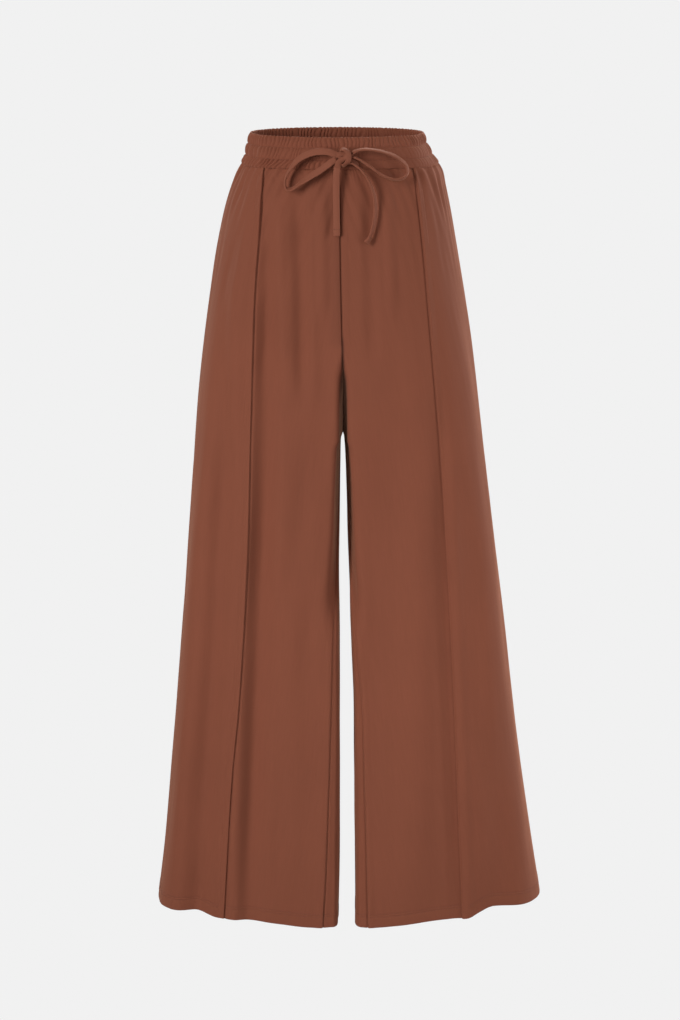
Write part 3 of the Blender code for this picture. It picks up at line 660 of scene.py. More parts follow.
def stitches(line, normal, pitch, long, radius):
    """Points and quads of a row of stitches along a line on cloth.

    Each stitch is five rings of six points on an ellipsoid, half sunk in the cloth: the ring's
    radius is radius times the square root of 1 - t squared, at t from -1 to 1 along the stitch.
    """
    both = evenly(np.concatenate([line, normal], axis=1), pitch)
    centre, out = both[:, :3], unit(both[:, 3:])
    tangent = unit(np.gradient(centre, axis=0))
    side = unit(np.cross(tangent, out))
    t = np.array([-0.98, -0.6, 0, 0.6, 0.98])
    turn = np.linspace(0, 2 * np.pi, 6, endpoint=False)
    ring = radius * np.sqrt(1 - t ** 2)
    points = (centre[:, None, None] + (long / 2 * t)[None, :, None, None] * tangent[:, None, None]
              + (ring[:, None] * np.cos(turn))[None, ..., None] * side[:, None, None]
              + (ring[:, None] * np.sin(turn))[None, ..., None] * out[:, None, None])
    count = len(centre)
    one = grid_faces(5, 6, closed=True)
    cap = np.array([[0, 1, 2, 3], [0, 3, 4, 5], [27, 26, 25, 24], [29, 28, 27, 24]])
    one = np.concatenate([one, cap])
    faces = (one[None] + 30 * np.arange(count)[:, None, None]).reshape(-1, 4)
    return points.reshape(-1, 3), faces


def make_stitches(name, rows, material, pitch, long, radius):
    """One piece of several rows of stitches, each given as its line and its normals."""
    points, faces, total = [], [], 0
    for line, normal in rows:
        p, f = stitches(line, normal, pitch, long, radius)
        points.append(p)
        faces.append(f + total)
        total += len(p)
    return make_piece(name, np.concatenate(points), np.concatenate(faces), material)


# --- Materials -------------------------------------------------------------------------------

def linear(colour):
    """A screen colour as the shader's own linear one, with full alpha."""
    c = np.array(colour[:3], dtype=float)
    return (*np.where(c <= 0.04045, c / 12.92, ((c + 0.055) / 1.055) ** 2.4), 1.0)


def node(tree, kind, place, **values):
    """A node at a place in the editor, with its settings and the values on its sockets."""
    made = tree.nodes.new(kind)
    made.location = place
    for key, value in values.items():
        if hasattr(made, key):
            setattr(made, key, value)
        else:
            made.inputs[key.replace("_", " ")].default_value = value
    return made


def two_tones(tree, place, colour, dark, light):
    """A ramp from the colour's dark share to its light share, each a (position, share) pair."""
    ramp = node(tree, "ShaderNodeValToRGB", place)
    base = np.array(linear(colour)[:3])
    for element, (position, share) in zip(ramp.color_ramp.elements, (dark, light)):
        element.position = position
        element.color = (*(base * share), 1)
    return ramp


def cloth_material(name, colour, settings, roughness):
    """Woven crepe: pebbled grain in the bump, faint lengthwise streaks and mottling in colour.

    Painted shade: the colour is darkened by the piece's own crease attribute, along sewn lines and in the
    slit.
    """
    material = bpy.data.materials.new(name)
    material.use_nodes = True
    tree = material.node_tree
    shader = tree.nodes["Principled BSDF"]
    link = tree.links.new
    uv = node(tree, "ShaderNodeTexCoord", (-1300, 0))
    lengthwise = node(tree, "ShaderNodeMapping", (-1100, 250), Scale=(420, 26, 1))
    pebbles = node(tree, "ShaderNodeMapping", (-1100, -50), Scale=(GRAIN, GRAIN * 0.7, 1))
    streak = node(tree, "ShaderNodeTexNoise", (-900, 250), Scale=1.0, Detail=3.0, Roughness=0.6)
    pebble = node(tree, "ShaderNodeTexNoise", (-900, -50), Scale=1.0, Detail=2.0, Roughness=0.55)
    mottle = node(tree, "ShaderNodeTexNoise", (-900, 500), Scale=11.0, Detail=3.0, Roughness=0.5)
    link(uv.outputs["UV"], lengthwise.inputs["Vector"])
    link(uv.outputs["UV"], pebbles.inputs["Vector"])
    link(uv.outputs["Object"], mottle.inputs["Vector"])
    link(lengthwise.outputs["Vector"], streak.inputs["Vector"])
    link(pebbles.outputs["Vector"], pebble.inputs["Vector"])
    blend = node(tree, "ShaderNodeMath", (-700, 400), operation="MULTIPLY_ADD")
    blend.inputs[1].default_value = 0.55
    link(streak.outputs["Fac"], blend.inputs[0])
    blend_two = node(tree, "ShaderNodeMath", (-700, 600), operation="MULTIPLY")
    blend_two.inputs[1].default_value = 0.45
    link(mottle.outputs["Fac"], blend_two.inputs[0])
    link(blend_two.outputs[0], blend.inputs[2])
    fine = node(tree, "ShaderNodeMath", (-520, 300), operation="MULTIPLY_ADD")
    fine.inputs[1].default_value = 0.3
    link(pebble.outputs["Fac"], fine.inputs[0])
    link(blend.outputs[0], fine.inputs[2])
    spread = settings.colour_spread
    ramp = two_tones(tree, (-340, 300), colour, (0.42, 1 - spread), (0.88, 1 + spread))
    link(fine.outputs[0], ramp.inputs["Fac"])
    # painted shade: the crease attribute darkens the colour towards the painted shade colour
    crease = node(tree, "ShaderNodeAttribute", (-340, 560), attribute_name="crease")
    shade = node(tree, "ShaderNodeMix", (-160, 400), data_type="RGBA", blend_type="MULTIPLY")
    shade.inputs[7].default_value = linear(PAINTED_SHADE_COLOUR)
    link(crease.outputs["Fac"], shade.inputs[0])
    link(ramp.outputs["Color"], shade.inputs[6])
    link(shade.outputs[2], shader.inputs["Base Color"])
    rough = node(tree, "ShaderNodeMapRange", (-340, 0))
    rough.inputs["To Min"].default_value = roughness + 0.06
    rough.inputs["To Max"].default_value = roughness - 0.06
    link(pebble.outputs["Fac"], rough.inputs["Value"])
    link(rough.outputs["Result"], shader.inputs["Roughness"])
    relief_height = node(tree, "ShaderNodeMath", (-520, -150), operation="MULTIPLY_ADD")
    relief_height.inputs[1].default_value = 0.6
    link(streak.outputs["Fac"], relief_height.inputs[0])
    link(pebble.outputs["Fac"], relief_height.inputs[2])
    bump = node(tree, "ShaderNodeBump", (-340, -200), Strength=0.35, Distance=0.0004)
    link(relief_height.outputs[0], bump.inputs["Height"])
    link(bump.outputs["Normal"], shader.inputs["Normal"])
    shader.inputs["Metallic"].default_value = 0.0
    shader.inputs["Specular IOR Level"].default_value = 0.25
    shader.inputs["Sheen Weight"].default_value = settings.sheen
    shader.inputs["Sheen Roughness"].default_value = 0.42
    shader.inputs["Sheen Tint"].default_value = linear((1.0, 0.72, 0.58))
    return material


def plain_material(name, colour, roughness):
    """Spun thread: one colour with a fine twisted grain in its bump."""
    material = bpy.data.materials.new(name)
    material.use_nodes = True
    tree = material.node_tree
    shader = tree.nodes["Principled BSDF"]
    place = node(tree, "ShaderNodeTexCoord", (-900, 0))
    twist = node(tree, "ShaderNodeTexNoise", (-700, 0), Scale=2600.0, Detail=2.0)
    ramp = two_tones(tree, (-500, 100), colour, (0.35, 0.82), (0.65, 1.15))
    bump = node(tree, "ShaderNodeBump", (-300, -200), Strength=0.4, Distance=0.0002)
    tree.links.new(place.outputs["Object"], twist.inputs["Vector"])
    tree.links.new(twist.outputs["Fac"], ramp.inputs["Fac"])
    tree.links.new(ramp.outputs["Color"], shader.inputs["Base Color"])
    tree.links.new(twist.outputs["Fac"], bump.inputs["Height"])
    tree.links.new(bump.outputs["Normal"], shader.inputs["Normal"])
    shader.inputs["Roughness"].default_value = roughness
    shader.inputs["Specular IOR Level"].default_value = 0.35
    return material


def crepe(settings):
    """The garment's crepe, made once."""
    found = bpy.data.materials.get("pants_crepe")
    return found or cloth_material("pants_crepe", settings.crepe_colour, settings, 0.84)


def tape_cloth(settings):
    """The drawstring's crepe in the tape's own colour, made once."""
    found = bpy.data.materials.get("pants_tape")
    return found or cloth_material("pants_tape", settings.tape_colour, settings, 0.78)


def thread(settings):
    """The sewing thread, made once."""
    found = bpy.data.materials.get("pants_thread")
    return found or plain_material("pants_thread", settings.thread_colour, 0.6)


# --- Panels ----------------------------------------------------------------------------------

def panel_places(columns):
    """Places across a panel: close together beside its seams and round its corner."""
    return lambda length, middle, corner: spaced(
        length, ((0, 2.2 * MM, 5), (length, 2.2 * MM, 5), (corner, 11 * MM, 1.2),
                 (middle + 1 * MM, 4 * MM, 3),
                 (length - 16 * MM, 12 * MM, 1.8)), columns)


def panel_rows(settings):
    """Side drops of the rows: from just inside the band, close at the waist seam and the hem."""
    top = WAISTBAND
    under_seam = top + np.array([-3, -1.5, -0.6, 0, 0.5, 1.0, 1.6, 2.4, 3.6, 5.2, 7.4, 9.6, 12.0]) * MM
    released = np.arange(under_seam[-1] + 2.2 * MM, top + 110 * MM, 2.2 * MM)
    turned_up = HEM_SIDE - HEM_TURN - 1 * MM
    legs = np.linspace(released[-1], turned_up, settings.leg_rows)[1:]
    hem = HEM_SIDE - np.array([20.2, 19.4, 18.9, 18.5, 18.2, 17.9, 17.4, 16.6, 15.8, 15.3, 15.0, 14.7,
                               14.2, 13.4, 11.5, 9, 6.5, 4, 2.2, 1.2]) * MM
    return np.concatenate([under_seam, released, legs, hem])


def make_panel(name, leg, face, settings):
    """A panel as one closed wall of cloth with a rolled hem edge.

    The outside is the smooth surface moved out by its folds and relief. The inside follows the
    folds one thickness behind, two where the hem is turned up, and a half circle joins them.
    """
    drop = panel_rows(settings)
    place = panel_places(settings.panel_columns)
    grid, normal, soft, sewn, where = surface(leg, face, drop, place)
    cloth = settings.cloth_thickness
    turned_up = (drop >= HEM_SIDE - HEM_TURN)[:, None]
    down = drop[:, None] + 0 * where
    outside = grid + normal * (soft + sewn + hem_relief(down))[..., None]
    thick = np.where(turned_up, 2 * cloth, cloth) * np.ones_like(where)
    inside = grid + normal * (soft + np.minimum(sewn, 0) - thick)[..., None]
    # painted shade: darkens the cloth's colour in its sewn dents and in the slit
    painted_shade = painted_shade_share(face, drop, grid, sewn)
    axis = unit(outside[-1] - outside[-5])
    half = (outside[-1] - inside[-1]) / 2
    middle = (outside[-1] + inside[-1]) / 2
    radius = np.linalg.norm(half, axis=1, keepdims=True)
    turn = np.linspace(0, np.pi, 8)[1:-1, None, None]
    rolled = middle + np.cos(turn) * half + np.sin(turn) * radius * axis
    points = np.concatenate([outside, rolled, inside[::-1]], axis=0)
    rows, columns = points.shape[:2]
    faces = [grid_faces(rows, columns, around=True)]
    first, last = np.arange(rows) * columns, np.arange(rows) * columns + columns - 1
    half_rows = len(drop) + 3
    for side in (first, last):
        a, b = side[:half_rows], side[::-1][:half_rows]
        faces.append(np.stack([a[:-1], a[1:], b[1:], b[:-1]], -1))
    faces = np.concatenate(faces)
    across = np.concatenate([where, np.repeat(where[-1:], 6, 0), where[::-1] + 0.5], axis=0)
    along = np.concatenate([down, HEM_SIDE + 0 * rolled[..., 0], down[::-1]], axis=0)
    painted_shade = np.concatenate([painted_shade, np.repeat(painted_shade[-1:], 6, 0), painted_shade[::-1]], axis=0)
    piece = make_piece(name, points, faces, crepe(settings), np.stack([across, -along], -1),
                       sharp=math.radians(70), crease=painted_shade)
    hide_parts(f"{face}_{leg}")
    return piece


def hem_stitch_rows(leg):
    """The two needle lines round a hem: points on the cloth and its normals."""
    rows = []
    for above in NEEDLE_LINES:
        for face in FACES:
            drop = HEM_SIDE - above + np.array([-1.0, 0.0, 1.0]) * MM
            place = lambda length, *_: length * np.linspace(0.004, 0.996, 400)[None]
            grid, normal, soft, sewn, where = surface(leg, face, drop, place)
            out = soft + sewn + hem_relief(drop[:, None] + 0 * where) + 0.02 * MM
            rows.append(((grid + normal * out[..., None])[1], normal[1]))
    return rows


# --- Pintucks --------------------------------------------------------------------------------

def tuck_lift(leg, drop):
    """How far a pintuck stands up beyond its pressed height, just below the waist seam."""
    t = (drop - 48 * MM) / (95 * MM)
    lift = np.sin(np.pi * np.clip(t, 0, 1)) ** 2
    return (1.7 if leg == "right" else 0.5) * MM * lift


def read_columns(values, stations, wanted):
    """Values of a grid's rows between its columns, a straight line from one to the next."""
    i = np.clip(np.searchsorted(stations, wanted, side="right") - 1, 0, len(stations) - 2)
    t = (wanted - stations[i]) / (stations[i + 1] - stations[i])
    t = t.reshape((1, -1) + (1,) * (values.ndim - 2))
    return values[:, i] * (1 - t) + values[:, i + 1] * t


def make_pintuck(leg, settings):
    """A pintuck as a closed strip on the front, its section carried down the panel.

    The section is a folded edge: low along its stitching, rising to a round free edge, and open
    a hair underneath.
    """
    drop = np.linspace(WAISTBAND + 0.2 * MM, HEM_SIDE - 0.4 * MM, settings.tuck_rows)
    across = -np.array([2.3, 1.8, 1.35, 1.0, 0.7, 0.4, 0.18, 0.05, 0.0,
                        0.0, 0.05, 0.16, 0.5, 1.0, 1.6, 2.3]) * settings.tuck_width
    high = np.array([-0.04, 0.12, 0.34, 0.52, 0.8, 0.97, 1.0, 0.86, 0.6,
                     0.36, 0.18, 0.1, 0.06, 0.0, -0.06, -0.12])
    stations = np.linspace(-2.5, 0.25, 12) * settings.tuck_width
    grid, normal, soft, _, where = surface(leg, "front", drop,
                                           lambda length, tuck, corner: tuck + stations[None])
    grid, normal, soft, where = (read_columns(values, stations, across)
                                 for values in (grid, normal, soft, where))
    pressed = 1 - 0.15 * smooth_step((drop - 120 * MM) / (300 * MM))
    tall = (settings.tuck_height * pressed + tuck_lift(leg, drop))[:, None] * high
    sway = 0.3 * MM * waves(drop, 0, SEED + 40 + LEGS.index(leg), 70 * MM)[:, None]
    points = grid + normal * (soft + tall + sway * np.clip(high, 0, 1))[..., None]
    uv = np.stack([where, -(drop[:, None] + 0 * where)], -1)
    piece = make_piece(f"pintuck_{leg}_fold", points, strip_faces(*points.shape[:2]),
                       crepe(settings), uv, sharp=math.radians(80))
    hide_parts(f"pintuck_{leg}")
    return piece


# --- Waistband -------------------------------------------------------------------------------

# How strongly each channel is gathered, by share of the way round: centre back at 0 and 1, the
# right side at 0.25, the centre front at 0.5 and the left side at 0.75.
ROUND = (0, 0.25, 0.33, 0.42, 0.5, 0.55, 0.62, 0.69, 0.75, 0.82, 1)
STRENGTH = (
    (1, 1, 1, 0.9, 0.75, 0.65, 0.65, 0.75, 0.9, 1, 1),
    (1, 1, 1, 0.75, 0.4, 0.25, 0.18, 0.3, 0.75, 1, 1),
    (1.3, 1.3, 2.1, 1.5, 0.4, 0.2, 0.15, 0.25, 0.8, 1.2, 1.3),
)
SLANT = (-0.25, 0.2, 1.5)        # how far each channel's gathers lean, in gathers
SLANT_ROUND = (0, 0.6, 1, 0.7, 0.2, 0, 0, 0, -0.2, -0.4, 0)


def band_ring(drop, columns):
    """Closed rings round the waist at each drop, from the centre back by the right side."""
    quarters = []
    steps = np.linspace(0, 1, columns // 4, endpoint=False)[None]
    for leg, face in (("right", "back"), ("right", "front"), ("left", "front"), ("left", "back")):
        path, _, _, end_drop = whole_path(leg, face, drop)
        path = path if (leg == "right") == (face == "front") else path[:, ::-1]
        length = reach(path)[:, -1:]
        quarters.append(height(read_path(path, length * steps), drop, end_drop, 0 * length * steps))
    return np.concatenate(quarters, axis=1)


def round_waves(share, seed, low, high, count=16):
    """Unevenness round a ring: a sum of cosines with whole numbers of turns, so it closes."""
    pick = np.random.default_rng(seed)
    total = 0 * share
    for turns, phase in zip(pick.integers(low, high, count), pick.uniform(0, 1, count)):
        total = total + np.cos(2 * np.pi * (turns * share + phase))
    return total / math.sqrt(count)


def band_relief(share, row, settings):
    """Height of the gathers and the pillowing at a share round and a share down the band.

    Each channel pillows as a flattened sine between its stitch lines, and its gathers are
    ridges with narrow creases whose place wanders, and slants in the lowest channel.
    """
    pillow = np.zeros(np.broadcast(share, row).shape)
    gather = np.zeros_like(pillow)
    count = settings.gather_count
    for channel, (top, bottom) in enumerate(zip(GROOVES[:-1], GROOVES[1:])):
        inside = (row >= top) & (row <= bottom)
        t = np.clip((row - top) / (bottom - top), 0, 1)
        bow = np.sin(np.pi * t)
        strength = np.interp(share, ROUND, STRENGTH[channel])
        wander = 0.3 * round_waves(share, SEED + 60 + channel, 6, 30) + 0.12 * round_waves(
            share, SEED + 64, 20, 60)
        slant = SLANT[channel] * np.interp(share, ROUND, SLANT_ROUND)
        phase = count * share + wander + slant * (t - 0.5) + 0.15 * np.sin(5 * t + 40 * share)
        ridge = np.abs(np.cos(np.pi * phase)) ** 0.9 - 0.6
        uneven = 1 + 0.25 * round_waves(share, SEED + 70 + channel, 10, 60)
        shape = bow ** (0.35 if channel < 2 else 0.3)
        edge = 0.55 if channel == 0 else 0.35
        gather = np.where(inside, settings.gather_depth * strength * uneven * ridge
                          * (edge + (1 - edge) * shape), gather)
        swell = SWELLS[channel] * (1 + 0.12 * round_waves(share, SEED + 80 + channel, 3, 20))
        fill = np.where(t < 0.5, 1.2, 0.62) if channel == 0 else 0.62
        pillow = np.where(inside, swell * bow ** fill, pillow)
    sewn = sum(groove((row - at) * WAISTBAND, 0.8 * MM, 0.9 * MM) for at in GROOVES[1:3])
    return pillow, gather, sewn


def make_waistband(settings):
    """The gathered band: a closed tube of cloth over three elastic channels.

    Rings run down the outside, round the lower edge, up the inside and over the top edge.
    """
    columns = settings.band_columns
    row = np.concatenate([np.linspace(a, b, settings.channel_rows, endpoint=False)
                          for a, b in zip(GROOVES[:-1], GROOVES[1:])] + [[1.0]])
    ring = band_ring(BAND_TOP + row * (WAISTBAND - BAND_TOP), columns)
    wrapped = np.concatenate([ring[:, -1:], ring, ring[:, :1]], axis=1)
    normal = unit(np.cross(np.gradient(ring, axis=0), wrapped[:, 2:] - wrapped[:, :-2]))
    middle = ring[len(row) // 2]
    step = np.linalg.norm(np.roll(middle, -1, axis=0) - middle, axis=1)
    around = np.concatenate([[0], np.cumsum(step)[:-1]])
    share = (around / step.sum())[None]
    pillow, gather, sewn = band_relief(share, row[:, None], settings)
    out = BAND_WALL + pillow + gather + sewn
    within = BAND_WALL + 0.5 * pillow + 0.8 * gather + 0.5 * sewn
    outside = ring + normal * out[..., None]
    inside = ring - normal * within[..., None]
    turn = np.linspace(0, np.pi, 6)[1:-1, None, None]

    def rolled(a, b, direction):
        """A half circle of rings from edge a to edge b, bulging along direction."""
        centre, half = (a + b) / 2, (a - b) / 2
        size = 0.8 * np.linalg.norm(half, axis=1, keepdims=True)
        return centre + np.cos(turn) * half + np.sin(turn) * size * direction

    lower = rolled(outside[-1], inside[-1], np.array([0, 0, -1.0]))
    upper = rolled(inside[0], outside[0], np.array([0, 0, 1.0]))
    points = np.concatenate([outside, lower, inside[::-1], upper], axis=0)
    rows = len(points)
    down = np.concatenate([row, [1] * 4, row[::-1], [0] * 4]) * WAISTBAND
    uv = np.stack(np.broadcast_arrays(around[None], -down[:, None]), -1)
    piece = make_piece("waistband_gathered", points, grid_faces(rows, columns, True, True),
                       crepe(settings), uv)
    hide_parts("waistband")
    index = [int(np.argmin(abs(row - at))) for at in GROOVES[1:3]]
    lines = [(np.concatenate([outside[i], outside[i][:1]]) + 0.05 * MM * normal[i][0], i) for i in index]
    seams = [(line, np.concatenate([normal[i], normal[i][:1]])) for line, i in lines]
    sewing = make_stitches("waistband_stitching", seams, thread(settings), 3.2 * MM, 2.4 * MM, 0.28 * MM)
    return piece, sewing


# --- Drawstring ------------------------------------------------------------------------------

# Places outwards from the knot and the direction of the tape's width, in millimetres.
ROUTES = {
    "drawstring_loop_right": (
        (-1.5, -107, -28, 0, 0.2, 1), (-15, -108, -24, 0.1, 0.2, 1), (-32, -107, -25, -0.2, 0.3, 1),
        (-50, -105, -33, -0.5, 0.6, 0.6), (-62, -103, -46, -0.3, 1, 0.2), (-69, -103, -60, 0, 1, 0),
        (-68, -104, -71, 0, 1, 0.3), (-60, -106, -72.5, 0.3, 1, 0.6), (-48, -108, -64, 0.4, 0.6, 0.8),
        (-34, -109, -55, 0.4, 0.3, 0.9), (-20, -108.5, -46, 0.4, 0.2, 0.9),
        (-9, -108, -38, 0.4, 0.2, 0.9), (-2.2, -107.5, -34, 0.3, 0.2, 0.9)),
    "drawstring_loop_left": (
        (19.5, -106, -24, 0, 1, 0.2), (32, -107, -21, 0, 1, 0.2), (46, -106, -21.5, 0, 1, 0.2),
        (62, -103, -25, 0, 1, 0.3), (77, -99, -31, 0.2, 1, 0.3), (89, -95, -41, 0.3, 1, 0.2),
        (92, -95, -52, 0.3, 1, 0), (83, -99, -60, 0.3, 1, -0.2), (70, -103, -59.5, 0.2, 1, -0.2),
        (56, -106, -53, 0.1, 1, 0), (42, -107, -43, 0, 1, 0), (29, -107, -34.5, 0, 1, 0),
        (20.5, -106, -31, 0, 1, 0)),
    "drawstring_tail_right": (
        (-0.6, -109.5, -43, 1, 0, 0.1), (-1.7, -110, -56, 1, 0, 0), (-2, -109.5, -72, 1, 0, 0),
        (-1.8, -109, -90, 1, 0, 0), (-1.5, -109, -110, 1, 0, 0), (-1.2, -109, -134, 1, 0, 0)),
    "drawstring_tail_left": (
        (20, -107, -39.5, 0, 1, 0), (29, -108, -46, 0, 1, 0), (38, -108.4, -57, 0.1, 1, 0),
        (44.5, -108.2, -70, 0.3, 1, 0), (48.5, -107.6, -83, 0.4, 0.9, 0), (49.8, -107.2, -97, 0.5, 0.8, 0),
        (49, -107.2, -111, 0.5, 0.8, 0), (46.6, -107.4, -124, 0.5, 0.8, 0.1),
        (43.6, -107.8, -133, 0.5, 0.8, 0.2), (41.2, -108.4, -138.5, 0.6, 0.7, 0.4),
        (37.5, -108.8, -143.5, 0.7, 0.5, -0.6)),
}

# The knot: the turn over the front, the bar that the loops pass through, and the tails' roots.
KNOT_ROUTES = {
    "knot_turn": (
        (3.5, -103, -23, 0, 1, 0.5), (6.2, -108.5, -20.6, 0, 1, 0.4),
        (10.5, -112.3, -21.6, 0.4, 0.8, 0.3), (13.6, -113.6, -25.4, 0.9, 0.4, 0.1),
        (14.5, -113.9, -30.5, 1, 0.25, 0), (13.3, -113.5, -36, 0.9, 0.35, -0.2),
        (10, -112, -40.4, 0.4, 0.8, -0.3), (6.5, -108.5, -41.6, 0, 1, -0.4),
        (4.2, -104, -40, 0, 1, -0.4)),
    "knot_bar": (
        (-5, -107, -27.5, 0, 0.2, 1), (3, -107.6, -28.5, 0, 0.15, 1), (11, -107.2, -28.5, 0, 0.3, 1),
        (18, -106.6, -26.5, 0, 0.8, 0.6), (24, -106.3, -23.2, 0, 1, 0.3)),
    "knot_root_right": (
        (11.5, -108, -28, 0.5, 0.3, 0.8), (8.6, -110.8, -30.4, 0.75, 0.3, 0.6),
        (4.4, -112.6, -34.6, 0.85, 0.2, 0.45), (0.8, -112.2, -39.2, 0.95, 0.1, 0.3),
        (-0.7, -110.2, -45, 1, 0, 0.1)),
    "knot_root_left": (
        (6, -106, -36, 0.1, 0.7, 0.7), (12, -107, -38, 0.1, 0.9, 0.5), (18, -107.2, -38.8, 0, 1, 0.2),
        (24, -107.5, -41.8, 0, 1, 0)),
    "lead_right": (
        (-9.5, -94, -41, 0.2, 0.5, 1), (-8.5, -100, -41, 0.2, 0.5, 1), (-5, -104, -38.5, 0.2, 0.4, 1),
        (1, -105, -35, 0.1, 0.3, 1)),
    "lead_left": (
        (27, -94, -42, -0.2, 0.5, 1), (25.5, -100, -41, -0.2, 0.5, 1), (21, -103, -38, -0.2, 0.4, 1),
        (14, -104, -35, -0.1, 0.3, 1)),
}
KNOT_WIDTHS = {"knot_turn": 7.4, "knot_bar": 8, "knot_root_right": 8.2, "knot_root_left": 8,
               "lead_right": 7, "lead_left": 7}


def tape_section(wide, thick, count=32):
    """A flat tape's outline: a superellipse with an edge-stitching dent on each face.

    x and y are half the size times the cosine and sine to the power 0.6, keeping their signs.
    """
    turn = np.linspace(0, 2 * np.pi, count, endpoint=False) + np.pi / count
    x = wide / 2 * np.sign(np.cos(turn)) * np.abs(np.cos(turn)) ** 0.6
    y = thick / 2 * np.sign(np.sin(turn)) * np.abs(np.sin(turn)) ** 0.75
    dent = 0.28 * MM * np.exp(-((np.abs(x) - 0.31 * wide) / (0.55 * MM)) ** 2)
    return x, y - np.sign(y) * dent


def make_tape(name, route, settings, tip=False, size=None):
    """A tape along its route: its outline carried on the width direction and across it.

    With tip, the last stretch is folded back on itself: thicker, behind a dent where it is sewn.
    """
    line = evenly(smooth_route(route, 24), TAPE_STEP)
    centre, wide = line[:, :3] * MM, line[:, 3:]
    tangent = unit(np.gradient(centre, axis=0))
    wide = unit(wide - np.sum(wide * tangent, axis=1, keepdims=True) * tangent)
    across = np.cross(tangent, wide)
    x, y = tape_section(*(size or (settings.tape_width, settings.tape_thickness)))
    reached = np.concatenate([[0], np.cumsum(np.linalg.norm(np.diff(centre, axis=0), axis=1))])
    left = reached[-1] - reached
    swell = 1 + 0.05 * waves(reached, 0, SEED + 90 + len(name), 14 * MM)
    narrow = 1 + 0.025 * waves(reached, 0, SEED + 95 + len(name), 18 * MM)
    if tip:
        fold = smooth_step((TIP_FOLD - left) / (1.2 * MM))
        swell = swell * (1 + 0.45 * fold) + groove(left - 9.0 * MM, 1.0 * MM, 0.55)
        narrow = narrow * (1 + 0.04 * fold)
    close = np.sqrt(1 - (1 - np.clip(np.minimum(reached, left) / (1.2 * MM), 0, 1)) ** 2)
    close = 0.45 + 0.55 * close
    points = (centre[:, None] + (narrow[:, None] * x * (0.85 + 0.15 * close[:, None]))[..., None]
              * wide[:, None] + (swell[:, None] * y * close[:, None])[..., None] * across[:, None])
    outline = np.concatenate([[0], np.cumsum(np.hypot(np.diff(x), np.diff(y)))])
    uv = np.stack(np.broadcast_arrays(outline[None], reached[:, None]), -1)
    piece = make_piece(name, points, strip_faces(*points.shape[:2]), tape_cloth(settings), uv)
    return piece, centre, wide, across


def make_drawstring(settings):
    """The bow: two loops and two tails, the knot's turns, and the leads out of the band."""
    made = {}
    for name, route in ROUTES.items():
        tip = "tail" in name
        piece, centre, wide, across = make_tape(name + "_tape", route, settings, tip=tip)
        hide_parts(name)
        made[name] = piece, centre, wide, across
    for name, route in KNOT_ROUTES.items():
        make_tape(name, route, settings, size=(KNOT_WIDTHS[name] * MM, 2.5 * MM))[0]
    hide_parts("drawstring_knot")
    for name, (piece, centre, wide, across) in made.items():
        with_pieces = []
        if "tail" in name:
            with_pieces = [make_tip_stitches(name, centre, wide, across, settings)]
    return made


def make_tip_stitches(name, centre, wide, across, settings):
    """Two short rows of thread across a tail's folded end, one on each face."""
    rows = []
    at = len(centre) - 1 - int(TIP_SEWN / TAPE_STEP)
    for side in (1, -1):
        steps = np.linspace(-0.38, 0.38, 12)[:, None] * settings.tape_width
        line = centre[at] + steps * wide[at] + side * 1.3 * MM * across[at]
        rows.append((line, np.repeat(side * across[at][None], 12, 0)))
    piece = make_stitches(name + "_stitches", rows, thread(settings), 1.7 * MM, 1.5 * MM, 0.34 * MM)
    return piece


# --- Stage -----------------------------------------------------------------------------------

def make_backdrop(settings):
    """A pale sheet: the floor, a quarter circle up, and the wall, as one strip."""
    turn = np.linspace(0, np.pi / 2, 24)
    front, corner, radius, floor, top = -9.0, 4.0, 2.0, settings.floor_height, 7.0
    y = np.concatenate([[front], corner + radius * np.sin(turn), [corner + radius]])
    z = np.concatenate([[floor], floor + radius * (1 - np.cos(turn)), [top]])
    x = np.linspace(-10, 10, 9)
    points = np.stack(np.broadcast_arrays(x[None], y[:, None], z[:, None]), -1)
    mesh = bpy.data.meshes.new("studio_backdrop")
    mesh.from_pydata(points.reshape(-1, 3).tolist(), [], grid_faces(len(y), len(x))[:, ::-1].tolist())
    mesh.shade_smooth()
    material = bpy.data.materials.new("studio_paper")
    material.use_nodes = True
    shader = material.node_tree.nodes["Principled BSDF"]
    shader.inputs["Base Color"].default_value = (0, 0, 0, 1)
    shader.inputs["Roughness"].default_value = 1.0
    shader.inputs["Specular IOR Level"].default_value = 0.0
    shader.inputs["Emission Color"].default_value = linear(settings.floor_colour)
    shader.inputs["Emission Strength"].default_value = 1.0
    mesh.materials.append(material)
    backdrop = bpy.data.objects.new("studio_backdrop", mesh)
    bpy.context.scene.collection.objects.link(backdrop)
    backdrop.visible_diffuse = backdrop.visible_glossy = False
    return backdrop


# Each light's place, the point it faces, its size or its beam's spread, and its watts.
SOFTBOXES = (
    ("softbox_key", (-2.4, -2.9, 0.5), (0, 0, -0.6), (1.2, 2.0), 102),
    ("softbox_left", (2.7, -1.6, -0.4), (0, 0, -0.7), (1.0, 2.4), 24),
    ("rim_left", (2.5, 0.5, 0.0), (0, 0, -0.5), (0.8, 2.2), 34),
    ("back_left", (2.1, 2.0, 0.4), (0, 0, -0.5), (0.9, 2.2), 18),
    ("back_right", (-2.1, 1.9, 0.3), (0, 0, -0.5), (0.9, 2.2), 16),
    ("back_top", (0.3, 3.0, 2.2), (0, 0, -0.5), (2.0, 1.0), 80),
)
SPOTS = (
    ("soft_spot", (0.3, -4.0, 0.2), (0.03, -0.1, -0.58), (0.09, 0.15), 315),
    ("hem_spot", (0.7, -3.5, -0.6), (0.36, -0.05, -1.04), (0.045, 0.06), 420),
    ("hip_spot", (-2.6, -2.0, 0.1), (-0.13, -0.08, -0.17), (0.05, 0.06), 60),
)


